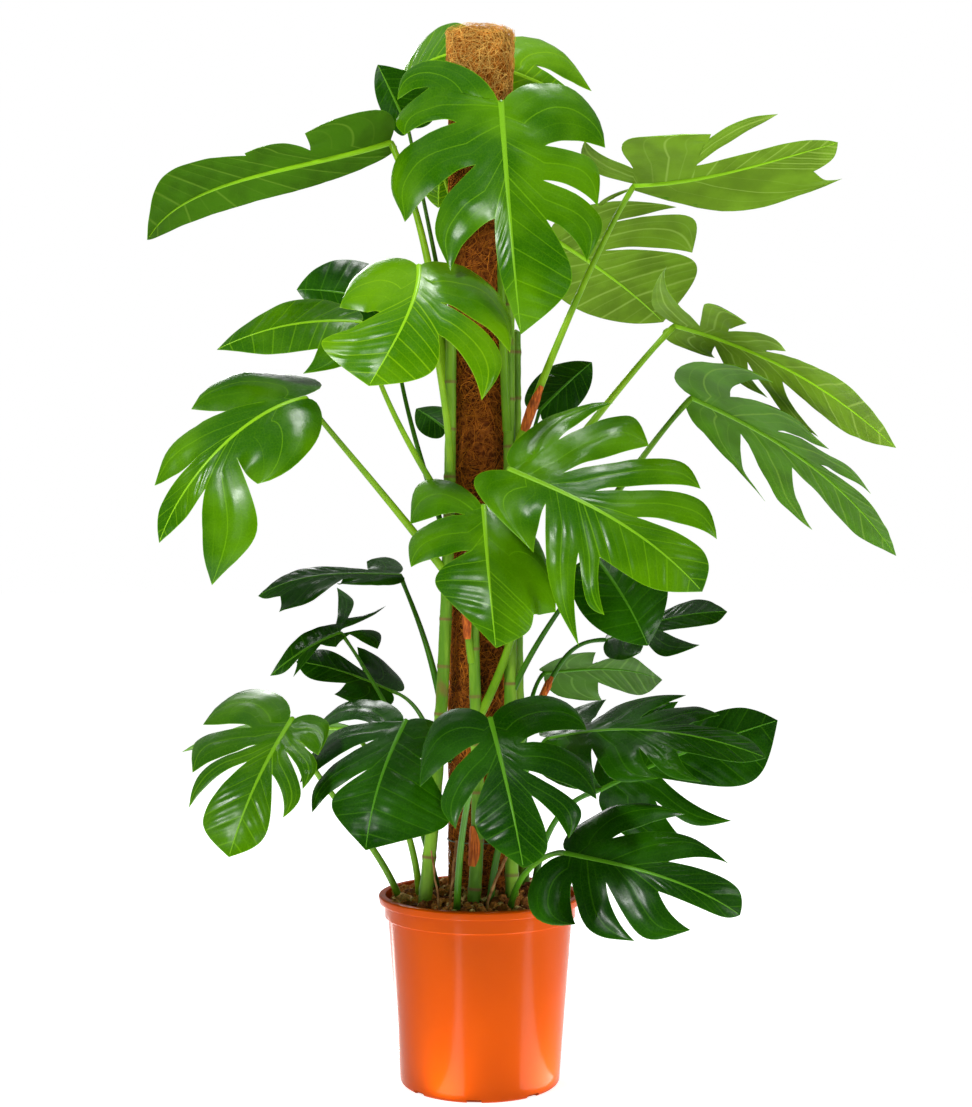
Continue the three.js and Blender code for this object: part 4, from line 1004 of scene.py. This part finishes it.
# ---- Pot and soil ---------------------------------------------------------------------------
def pot_profile():
    mouth = COLLAR_RADIUS - WALL + 1
    lip_bottom = POT_HEIGHT - LIP_DROP
    step = COLLAR_RADIUS - STEP_DEPTH
    skirt = RIM_RADIUS - WALL - 1
    return [
        (0, 0),
        (BASE_RADIUS - BASE_ROUND - 6, 0),
        *arc(BASE_RADIUS - BASE_ROUND, BASE_ROUND, BASE_ROUND, -90, -5, 8),
        (step - 0.1, COLLAR_BOTTOM - CORNER_ROUND),
        *arc(step + CORNER_ROUND, COLLAR_BOTTOM - 0.6, CORNER_ROUND, 180, 100, 4),
        (COLLAR_RADIUS - CORNER_ROUND - 0.1, COLLAR_BOTTOM + 1),
        *arc(COLLAR_RADIUS - CORNER_ROUND, COLLAR_BOTTOM + CORNER_ROUND + 1, CORNER_ROUND, -90, 0, 4),
        (COLLAR_RADIUS, POT_HEIGHT - WALL - 1),
        (skirt, POT_HEIGHT - WALL - 1),
        (skirt, lip_bottom + 0.5),
        *arc(skirt + LIP_EDGE, lip_bottom + LIP_EDGE, LIP_EDGE, 180, 360, 8),
        *arc(RIM_RADIUS - LIP_ROUND, POT_HEIGHT - LIP_ROUND, LIP_ROUND, 0, 90, 8),
        *arc(mouth + CORNER_ROUND, POT_HEIGHT - CORNER_ROUND, CORNER_ROUND, 90, 180, 4),
        (COLLAR_RADIUS - 1 - WALL, COLLAR_BOTTOM + 2),
        (step - WALL, COLLAR_BOTTOM),
        (BASE_RADIUS - WALL, FLOOR),
        (0, FLOOR),
    ]


def build_pot(look):
    form = spun(pot_profile(), POT_SIDES)
    pot = closed_piece("pot_fine", "pot", "pot_plastic", look, form, sharp=30)
    cutter = bmesh.new()
    for i in range(NOTCHES):
        angle = NOTCH_TURN + WHOLE_TURN * i / NOTCHES
        made = bmesh.ops.create_cube(cutter, size=1)["verts"]
        bmesh.ops.scale(cutter, vec=np.array(NOTCH_SIZE) * MM, verts=made)
        bmesh.ops.translate(cutter, vec=(BASE_RADIUS * MM, 0, 0), verts=made)
        bmesh.ops.rotate(cutter, matrix=Matrix.Rotation(angle, 3, "Z"), verts=made)
    mesh = bpy.data.meshes.new("notches")
    cutter.to_mesh(mesh)
    cutter.free()
    notches = bpy.data.objects.new("notches", mesh)
    bpy.context.scene.collection.objects.link(notches)
    cut = pot.modifiers.new("notches", "BOOLEAN")
    cut.operation, cut.solver, cut.object = "DIFFERENCE", "EXACT", notches
    apply_modifiers(pot)
    bpy.data.objects.remove(notches)


def apply_modifiers(piece):
    """Replaces a piece's mesh by what its modifiers make of it, and takes them off."""
    shown = piece.evaluated_get(bpy.context.evaluated_depsgraph_get())
    mesh = bpy.data.meshes.new_from_object(shown)
    piece.modifiers.clear()
    piece.data = mesh


def soil_height(radius):
    return SOIL_EDGE_HEIGHT + SOIL_DOME * (1 - (radius / (COLLAR_RADIUS - WALL + 1)) ** 2)


def build_soil(look):
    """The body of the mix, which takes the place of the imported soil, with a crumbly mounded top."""
    edge = [
        (0, FLOOR + GAP),
        (BASE_RADIUS - WALL - 0.5, FLOOR + GAP),
        (COLLAR_RADIUS - STEP_DEPTH - WALL - 0.5, COLLAR_BOTTOM),
        (SOIL_RADIUS, COLLAR_BOTTOM + 3),
    ]
    radii = SOIL_RADIUS * (1 - np.arange(SOIL_RINGS + 1) / SOIL_RINGS)
    points, faces = spun(edge + [(r, soil_height(r)) for r in radii], SOIL_SIDES)
    loose = smooth_step(SOIL_EDGE_HEIGHT - 12, SOIL_EDGE_HEIGHT - 4, points[:, 2])
    inside = smooth_step(0, 8, SOIL_RADIUS - np.hypot(points[:, 0], points[:, 1]))
    crumbs = waves(points, *SOIL_HEAPS, 1) + np.maximum(waves(points, *SOIL_CLODS, 2), 0)
    crumbs = crumbs + waves(points, *SOIL_CRUMBS, 3)
    points[:, 2] += crumbs * loose * (0.3 + 0.7 * inside)
    closed_piece("soil_body", "soil", "potting_mix", look, (points, faces), sharp=80)


def ball(subdivisions):
    """Points and triangles of a ball of radius 1."""
    form = bmesh.new()
    bmesh.ops.create_icosphere(form, subdivisions=subdivisions, radius=1)
    points = np.array([vertex.co for vertex in form.verts])
    faces = [[vertex.index for vertex in face.verts] for face in form.faces]
    form.free()
    return points, faces


def build_chips(look):
    """Loose crumbs and bark chips that lie on the soil."""
    rng = np.random.default_rng(5)
    base, faces = ball(2)
    shape = Shape()
    for i in range(CHIP_COUNT):
        radius = (SOIL_RADIUS - CHIP_MARGIN) * math.sqrt(rng.uniform(0.03, 1))
        angle = rng.uniform(0, WHOLE_TURN)
        size = SMALLEST_CHIP + CHIP_SPREAD * rng.uniform() ** 3
        stretch = rng.uniform(*CHIP_STRETCH, 3)
        turn = np.linalg.qr(rng.normal(size=(3, 3)))[0]
        lump = base * (1 + waves(base, *CHIP_BUMPS, 100 + i)[:, None]) * stretch * size
        height = soil_height(radius) + size * CHIP_LIFT
        place = (radius * math.cos(angle), radius * math.sin(angle), height)
        shape.add(lump @ turn + place, faces, tint=rng.uniform())
    shape.piece("soil_chips", "soil", "potting_mix", [look], sharp=35)


# ---- Coir pole ------------------------------------------------------------------------------
def build_pole(look, fibre_look, tie_look):
    foot = POLE_BOX[0, 2]
    heights = np.linspace(foot, POLE_TOP, POLE_RINGS)
    rounding = np.minimum(1, np.sqrt(np.maximum(POLE_TOP - heights, 0) / TOP_ROUND + TOP_WIDTH))
    ring = [(POLE_RADIUS * share, height) for share, height in zip(rounding, heights)]
    points, faces = spun([(0, foot), *ring, (0, POLE_TOP)], POLE_SIDES)
    outward = points * (1, 1, 0) / (np.hypot(points[:, 0], points[:, 1])[:, None] + 1e-6)
    mat = sum(waves(points / (1, 1, stretch), *bumps, seed)
              for seed, (bumps, stretch) in enumerate(zip(MAT_BUMPS, MAT_STRETCH), 7))
    points = points + outward * np.clip(mat - MAT_SINK, *MAT_REACH)[:, None]
    closed_piece("coir_pole_core", "coir_pole", "coir", look, (points, faces), sharp=80)
    build_fibres(fibre_look)
    build_tie(tie_look)


def fibre_path(rng):
    """A curly strand that lies on the pole's skin: places, worked out round and up."""
    length = rng.uniform(*FIBRE_LENGTHS)
    heading = rng.uniform(0, WHOLE_TURN)
    curl = rng.normal() * FIBRE_CURL
    swing = np.cumsum(rng.normal(size=FIBRE_STEPS + 1)) * FIBRE_WANDER
    gone = np.linspace(0, length, FIBRE_STEPS + 1)
    headings = heading + curl * gone + swing
    step = length / FIBRE_STEPS
    across = np.cumsum(np.cos(headings)) * step
    up = np.cumsum(np.sin(headings)) * step
    angle = rng.uniform(0, WHOLE_TURN) + across / POLE_RADIUS
    height = POLE_TOP - (POLE_TOP - POLE_BOX[0, 2] - BARE_FOOT) * rng.uniform() ** 1.5 + up
    loose = smooth_step(POLE_TOP - FRAY_HEIGHT, POLE_TOP, height) * rng.uniform(0, 1)
    past = np.maximum(height - POLE_TOP, 0)
    height = np.minimum(height, POLE_TOP + 1.5 + FRAY * loose - 0.4 * past)
    arch = np.sin(np.linspace(0, math.pi, FIBRE_STEPS + 1))
    radius = POLE_RADIUS + 0.2 + rng.uniform(0, FIBRE_LAYER)
    radius = radius + (FIBRE_ARCH * rng.uniform(0, 1) + FRAY * loose) * arch
    return np.stack([radius * np.cos(angle), radius * np.sin(angle), height], axis=-1)


def top_strand(rng):
    """A strand that lies across the pole's flat top."""
    start, end = rng.uniform(0, WHOLE_TURN, 2)
    corners = [(math.cos(angle), math.sin(angle)) for angle in (start, end)]
    middle = rng.normal(size=2) * 0.3
    path = bend([corners[0], middle, corners[1]], np.linspace(0, 1, FIBRE_STEPS + 1)) * POLE_RADIUS * 0.96
    lift = POLE_TOP + 0.5 + rng.uniform(0, 2.5) * np.sin(np.linspace(0, math.pi, FIBRE_STEPS + 1))
    return np.concatenate([path, lift[:, None]], axis=-1)


def build_fibres(look):
    thinning = np.sqrt(np.sin(np.linspace(0.03, 0.97, FIBRE_STEPS + 1) * math.pi))
    for part in range(FIBRE_PIECES):
        rng = np.random.default_rng(20 + part)
        shape = Shape()
        for i in range(FIBRES_PER_PIECE):
            path = top_strand(rng) if i % TOP_STRAND_EVERY == 0 else fibre_path(rng)
            points, faces = tube(path, rng.uniform(*FIBRE_RADII) * thinning, 3)
            # Fibres near the top of the pole are paler.
            pale = 0.7 * smooth_step(PALE_FROM, PALE_TO, path[:, 2].max())
            shape.add(points, faces, tint=rng.uniform() * 0.8 + pale)
        shape.piece(f"coir_fibres_{part + 1}", "coir_pole", "coir", [look])


def build_tie(look):
    """A thin wire ring pulled round the pole."""
    middle = (TIE_BOX[0, 2] + TIE_BOX[1, 2]) / 2
    wire = (TIE_BOX[1, 2] - TIE_BOX[0, 2]) / 2
    ring = arc(TIE_BOX[1, 0] - wire, middle, wire, 0, 360 - 360 / WIRE_SIDES, WIRE_SIDES - 1)
    form = spun(ring, TIE_SIDES, closed=True)
    closed_piece("plant_tie_fine", "plant_tie", "tie_plastic", look, form)


# ---- Materials ------------------------------------------------------------------------------
def srgb(colour):
    """A colour as the shader wants it, from its red, green and blue from 0 to 255."""
    values = [value / 255 for value in colour]
    return [v / 12.92 if v < 0.04045 else ((v + 0.055) / 1.055) ** 2.4 for v in values] + [1]


def feed(tree, socket, value):
    """Gives a socket its value, or links it to the socket that has one."""
    if isinstance(value, bpy.types.NodeSocket):
        tree.links.new(value, socket)
    else:
        socket.default_value = value


class Look:
    """A material being put together: its nodes and its main shader."""

    def __init__(self, name, **settings):
        self.material = bpy.data.materials.new(name)
        self.material.use_nodes = True
        self.tree = self.material.node_tree
        self.shader = self.tree.nodes["Principled BSDF"]
        self.place = self.node("ShaderNodeTexCoord").outputs["Object"]
        for setting, value in settings.items():
            socket = setting.replace("_", " ").title().replace("Ior", "IOR")
            self.shader.inputs[socket].default_value = value

    def node(self, kind, **inputs):
        node = self.tree.nodes.new(kind)
        for name, value in inputs.items():
            feed(self.tree, node.inputs[name.replace("_", " ")], value)
        return node

    def number(self, name):
        """A number that the mesh holds for each point."""
        node = self.node("ShaderNodeAttribute")
        node.attribute_name = name
        return node.outputs["Fac"]

    def spread(self, value, low=0.35, high=0.7, start=0.0, end=1.0):
        """Turns one range of a value into another, smoothly. The default takes in most of a noise."""
        node = self.node("ShaderNodeMapRange", Value=value, From_Min=low, From_Max=high,
                         To_Min=start, To_Max=end)
        node.interpolation_type = "SMOOTHSTEP"
        return node.outputs["Result"]

    def noise(self, scale, detail=3.0, stretch=(1, 1, 1), roughness=0.5):
        place = self.place
        if stretch != (1, 1, 1):
            place = self.node("ShaderNodeMapping", Vector=place, Scale=stretch).outputs["Vector"]
        return self.node("ShaderNodeTexNoise", Vector=place, Scale=scale, Detail=detail,
                         Roughness=roughness).outputs["Fac"]

    def cells(self, scale):
        """Distance to the borders of irregular cells."""
        node = self.node("ShaderNodeTexVoronoi", Vector=self.place, Scale=scale)
        node.feature = "DISTANCE_TO_EDGE"
        return node.outputs["Distance"]

    def mix(self, share, first, second):
        """A colour between two others, each red, green and blue or a socket."""
        node = self.tree.nodes.new("ShaderNodeMix")
        node.data_type = "RGBA"
        feed(self.tree, node.inputs[0], share)
        for socket, colour in zip(node.inputs[6:8], (first, second)):
            feed(self.tree, socket, srgb(colour) if isinstance(colour, tuple) else colour)
        return node.outputs[2]

    def math(self, operation, first, second):
        node = self.tree.nodes.new("ShaderNodeMath")
        node.operation = operation
        for socket, value in zip(node.inputs, (first, second)):
            feed(self.tree, socket, value)
        return node.outputs[0]

    def set(self, socket, value):
        self.tree.links.new(value, self.shader.inputs[socket])

    def finished(self, colour, height=None, strength=0.0, distance=0.001):
        """The material in a colour, with the relief that a height gives."""
        self.set("Base Color", colour)
        if height:
            bump = self.node("ShaderNodeBump", Height=height, Strength=strength, Distance=distance)
            self.set("Normal", bump.outputs["Normal"])
        return self.material


def leaf_top(kind, green, deep, vein, clear):
    """The glossy side of a blade. clear says how much its veins and its edge show; the pale edge is
    partly a painted highlight.
    """
    look = Look(kind + "_top", specular_ior_level=0.16)
    patches = look.spread(look.noise(10, 2))
    colour = look.mix(patches, deep, green)
    fine = look.spread(look.cells(260), 0.0, 0.12, 0.1, 0.0)
    colour = look.mix(fine, colour, vein)
    minor = look.spread(look.number("minor"), 0.15, 0.9, 0.35 * clear, 0.0)
    colour = look.mix(minor, colour, vein)
    main = look.spread(look.number("vein"), 0.3, 1.3, clear, 0.0)
    colour = look.mix(main, colour, vein)
    # A pale band along the edge: partly the blade's own lighter margin, partly a painted highlight where
    # light catches the rim.
    pale_rim_and_highlight = look.spread(look.number("rim"), 0.3, 1.2, 1.2 * clear, 0.0)
    colour = look.mix(pale_rim_and_highlight, colour, vein)
    look.set("Roughness", look.spread(look.noise(40), 0.3, 0.7, 0.2, 0.32))
    return look.finished(colour, look.math("ADD", look.cells(220), look.noise(300)), 0.08, 0.0005)


def leaf_under(kind, green, pale):
    look = Look(kind + "_under", roughness=0.55, specular_ior_level=0.06)
    patches = look.spread(look.noise(20, 4))
    colour = look.mix(patches, green, tuple(value * 0.85 for value in green))
    main = look.spread(look.number("vein"), 0.4, 2.6, 0.6, 0.0)
    minor = look.spread(look.number("minor"), 0.2, 1.6, 0.2, 0.0)
    colour = look.mix(minor, colour, pale)
    colour = look.mix(main, colour, pale)
    return look.finished(colour, look.math("ADD", look.cells(180), look.noise(240)), 0.25, 0.0008)


def stalk_look():
    """Stalk and midrib: lime on the light leaves and greener on the dark ones, which is partly painted
    shade.
    """
    look = Look("stalk", roughness=0.34, specular_ior_level=0.2)
    patches = look.spread(look.noise(24, 3))
    light = look.mix(patches, (136, 182, 26), (112, 162, 20))
    dark = look.mix(patches, (56, 112, 14), (42, 94, 10))
    tone = look.spread(look.number("tone"), 0.1, 0.9)
    stalk = look.mix(tone, dark, light)
    rib = look.mix(tone, (74, 138, 20), (146, 206, 22))
    return look.finished(look.mix(look.number("rib"), stalk, rib))


def stem_look():
    look = Look("stem", roughness=0.42, specular_ior_level=0.2)
    streaks = look.spread(look.noise(70, 5, (1, 1, 0.12)))
    green = look.mix(streaks, (84, 132, 26), (130, 176, 44))
    patches = look.spread(look.noise(26, 4), 0.58, 0.72, 0.0, 0.7)
    green = look.mix(patches, green, (122, 96, 48))
    scar = look.spread(look.number("ring"), 0.8, 3.2, 0.85, 0.0)
    colour = look.mix(scar, green, (120, 92, 52))
    return look.finished(colour, look.noise(300, 4, (1, 1, 0.3)), 0.35, 0.001)


def sheath_look():
    look = Look("dry_sheath", roughness=0.6, specular_ior_level=0.2)
    fibres = look.spread(look.noise(420, 4, (1, 1, 0.06)), 0.35, 0.68)
    colour = look.mix(fibres, (150, 66, 18), (216, 112, 34))
    spots = look.spread(look.noise(60, 4), 0.55, 0.7, 0.0, 0.6)
    colour = look.mix(spots, colour, (96, 48, 20))
    return look.finished(colour, fibres, 0.5, 0.001)


def root_look():
    look = Look("root", roughness=0.8, specular_ior_level=0.2)
    patches = look.spread(look.noise(60, 5), 0.4, 0.65)
    colour = look.mix(patches, (120, 78, 42), (176, 132, 84))
    return look.finished(colour, look.noise(500, 4), 0.5, 0.001)


def pot_look():
    """Moulded orange plastic with a faint satin grain."""
    look = Look("orange_plastic", specular_ior_level=0.07)
    drift = look.spread(look.noise(9, 3))
    colour = look.mix(drift, (188, 71, 0), (192, 74, 0))
    look.set("Roughness", look.spread(look.noise(45, 4), 0.3, 0.7, 0.16, 0.2))
    return look.finished(colour, look.noise(900, 2), 0.04, 0.0003)


def soil_look():
    look = Look("potting_mix", roughness=0.95, specular_ior_level=0.2)
    crumbs = look.spread(look.noise(160, 6, roughness=0.65), 0.35, 0.68)
    colour = look.mix(crumbs, (66, 36, 16), (146, 86, 42))
    flecks = look.spread(look.noise(420, 3), 0.62, 0.7)
    colour = look.mix(flecks, colour, (150, 108, 64))
    return look.finished(colour, look.noise(380, 6, roughness=0.7), 1.0, 0.003)


def chip_look():
    look = Look("bark_chips", roughness=0.9, specular_ior_level=0.2)
    tint = look.number("tint")
    colour = look.mix(look.spread(tint, 0.1, 0.7), (124, 66, 28), (226, 146, 74))
    colour = look.mix(look.spread(tint, 0.7, 0.95), colour, (255, 222, 160))
    grain = look.spread(look.noise(300, 5), start=0.55, end=0.0)
    colour = look.mix(grain, colour, (40, 22, 12))
    return look.finished(colour, look.noise(600, 5), 0.7, 0.0015)


def coir_look():
    """The mat below the loose fibres: matted strands, with painted shade darkening the gaps among them.
    """
    look = Look("coir_mat", roughness=0.95, specular_ior_level=0.05)
    swirl = look.node("ShaderNodeTexNoise", Vector=look.place, Scale=70, Detail=6, Distortion=2.2)
    swirl = swirl.outputs["Fac"]
    strands_over_gap_shade = look.spread(swirl, 0.42, 0.62)
    patches = look.spread(look.noise(14, 3), 0.35, 0.65)
    # Painted shade: the dark colours of the gaps between the strands.
    deep = look.mix(patches, (56, 24, 8), (84, 40, 12))
    colour = look.mix(strands_over_gap_shade, deep, (150, 84, 30))
    # The mat is paler towards the top of the pole.
    height = look.node("ShaderNodeSeparateXYZ", Vector=look.place).outputs["Z"]
    paler_near_top = look.spread(height, PALE_FROM * MM, PALE_TO * MM, 0.0, 0.22)
    colour = look.mix(paler_near_top, colour, (206, 130, 40))
    return look.finished(colour, swirl, 1.0, 0.004)


def fibre_look():
    look = Look("coir_fibre", roughness=0.7, specular_ior_level=0.1)
    tint = look.number("tint")
    colour = look.mix(look.spread(tint, 0.0, 0.75), (130, 62, 16), (220, 132, 36))
    colour = look.mix(look.spread(tint, 0.75, 1.2), colour, (255, 206, 104))
    shade = look.spread(look.noise(40, 3), 0.4, 0.65, 0.3, 0.0)
    colour = look.mix(shade, colour, (72, 30, 10))
    return look.finished(colour, look.noise(900, 2), 0.3, 0.0004)


def tie_look():
    look = Look("tie", roughness=0.55)
    wear = look.spread(look.noise(80, 4), 0.4, 0.65)
    colour = look.mix(wear, (84, 96, 78), (108, 118, 98))
    return look.finished(colour, look.noise(600, 3), 0.2, 0.0005)


def leaf_looks():
    """The looks of stalks and of both sides of the blades.

    A kind of leaf has its green, its darker patches, its veins and how clearly they show, and
    then the green and the veins of its lower side. The darker kinds are partly painted shade,
    for leaves that lie in shade.
    """
    greens = {
        "leaf_light": ((98, 152, 0), (60, 118, 0), (146, 198, 16), 0.5, (112, 152, 34), (152, 184, 78)),
        "leaf_mid": ((80, 134, 0), (42, 96, 0), (120, 180, 16), 0.42, (70, 120, 12), (108, 150, 40)),
        "leaf_dark": ((34, 88, 0), (14, 58, 0), (80, 144, 16), 0.3, (62, 104, 26), (92, 134, 50)),
    }
    looks = {"stalk": [stalk_look()]}
    for kind, (green, deep, vein, clear, under, pale) in greens.items():
        looks[kind] = [leaf_top(kind, green, deep, vein, clear), leaf_under(kind, under, pale)]
    return looks


# ---- Floor, light and camera, in metres -----------------------------------------------------
FLOOR_REACH = 30
FLOOR_DEPTH = 0.03
PLANT_MIDDLE = (0, 0, 0.8)
STRIP_LENGTH = 0.8
PHOTO_HEIGHT = 1107
FOCAL_LENGTH = 1800                  # in the photograph's pixels
EYE = (0.008, -2.4, 0.702)
SKY_LEAN = (0, 0.7, 0.7)             # where most of the sky's light comes from
SKY_RANGE = {"From Min": -0.2, "From Max": 0.8, "To Min": 0.08, "To Max": 0.3}


def build_floor():
    """A pale floor that glows a little, so that it stays pale far from the lamps."""
    mesh = bpy.data.meshes.new("floor")
    edge = [(0, -FLOOR_DEPTH), (FLOOR_REACH, -FLOOR_DEPTH), (FLOOR_REACH, 0), (0, 0)]
    points, faces = spun(edge, 96)
    mesh.from_pydata(points.tolist(), [], faces)
    look = Look("floor", roughness=0.9, specular_ior_level=0.1, emission_strength=0.8)
    look.shader.inputs["Emission Color"].default_value = (1, 1, 1, 1)
    grain = look.spread(look.noise(3, 2), 0.3, 0.7)
    mesh.materials.append(look.finished(look.mix(grain, (246, 246, 246), (250, 250, 250))))
    floor = bpy.data.objects.new("floor", mesh)
    bpy.context.scene.collection.objects.link(floor)


def area_lamp(name, size, power, place, rotation):
    light = bpy.data.lights.new(name, "AREA")
    light.shape = "RECTANGLE"
    light.size, light.size_y = size
    light.energy = power
    lamp = bpy.data.objects.new(name, light)
    lamp.location = place
    lamp.rotation_euler = rotation
    bpy.context.scene.collection.objects.link(lamp)


def softbox(name, place, size, power):
    """A lamp on a stand that looks at the middle of the plant."""
    view = Vector(PLANT_MIDDLE) - Vector(place)
    area_lamp(name, size, power, place, view.to_track_quat("-Z", "Y").to_euler())


def low_strip(turn, width, power):
    """A narrow lamp that lies on the floor and leads away from the pot, for a streak of gloss on it."""
    reach = BASE_RADIUS * MM + STRIP_LENGTH / 2 + 0.01
    place = (reach * math.cos(turn), reach * math.sin(turn), 0.003)
    area_lamp("strip", (STRIP_LENGTH, width), power, place, (math.pi, 0, turn))


def build_lights():
    softbox("key", (-1.5, -1.9, 2.5), (0.45, 0.45), 54)
    softbox("fill", (2.3, -1.6, 1.4), (0.35, 1.2), 18)
    softbox("overhead", (0.3, 0.3, 3.2), (0.5, 0.5), 26)
    softbox("behind", (-0.8, 2.6, 2.2), (0.8, 0.8), 20)
    for turn, width, power in ((-24, 0.05, 1.0), (58, 0.1, 1.6), (-140, 0.08, 1.4)):
        low_strip(math.radians(turn - 90), width, power)


def build_world():
    """A white studio for the eye, whose light comes mostly from above and behind the plant."""
    world = bpy.data.worlds.new("studio")
    world.use_nodes = True
    tree = world.node_tree
    direction = tree.nodes.new("ShaderNodeTexCoord").outputs["Generated"]
    lean = tree.nodes.new("ShaderNodeVectorMath")
    lean.operation = "DOT_PRODUCT"
    feed(tree, lean.inputs[0], direction)
    feed(tree, lean.inputs[1], SKY_LEAN)
    glow = tree.nodes.new("ShaderNodeMapRange")
    for name, value in {"Value": lean.outputs["Value"], **SKY_RANGE}.items():
        feed(tree, glow.inputs[name], value)
    lit, shown = tree.nodes["Background"], tree.nodes.new("ShaderNodeBackground")
    for background in (lit, shown):
        feed(tree, background.inputs["Color"], (1, 1, 1, 1))
    feed(tree, lit.inputs["Strength"], glow.outputs["Result"])
    either = tree.nodes.new("ShaderNodeMixShader")
    seen = tree.nodes.new("ShaderNodeLightPath").outputs["Is Camera Ray"]
    for socket, value in zip(either.inputs, (seen, lit.outputs[0], shown.outputs[0])):
        feed(tree, socket, value)
    feed(tree, tree.nodes["World Output"].inputs["Surface"], either.outputs[0])
    bpy.context.scene.world = world
    bpy.context.scene.view_settings.view_transform = "Standard"


def build_camera():
    """Level with the middle of the plant, with the photograph's field of view."""
    data = bpy.data.cameras.new("camera")
    data.lens = data.sensor_width * FOCAL_LENGTH / PHOTO_HEIGHT
    camera = bpy.data.objects.new("camera", data)
    camera.location = EYE
    camera.rotation_euler = (math.radians(90), 0, 0)
    bpy.context.scene.collection.objects.link(camera)
    bpy.context.scene.camera = camera


# ---- Everything -----------------------------------------------------------------------------
def build_plant():
    looks = leaf_looks()
    for number, each in enumerate(LEAVES):
        build_leaf(each, 100 * number, looks)
    stem = stem_look()
    for name in STEMS:
        build_stem(name, stem)
    husk = sheath_look()
    for name in SHEATHS:
        build_sheath(name, husk)
    root = root_look()
    for name in ROOTS:
        build_root(name, root)
    build_pot(pot_look())
    build_soil(soil_look())
    build_chips(chip_look())
    build_pole(coir_look(), fibre_look(), tie_look())


build_plant()
build_floor()
build_lights()
build_world()
build_camera()
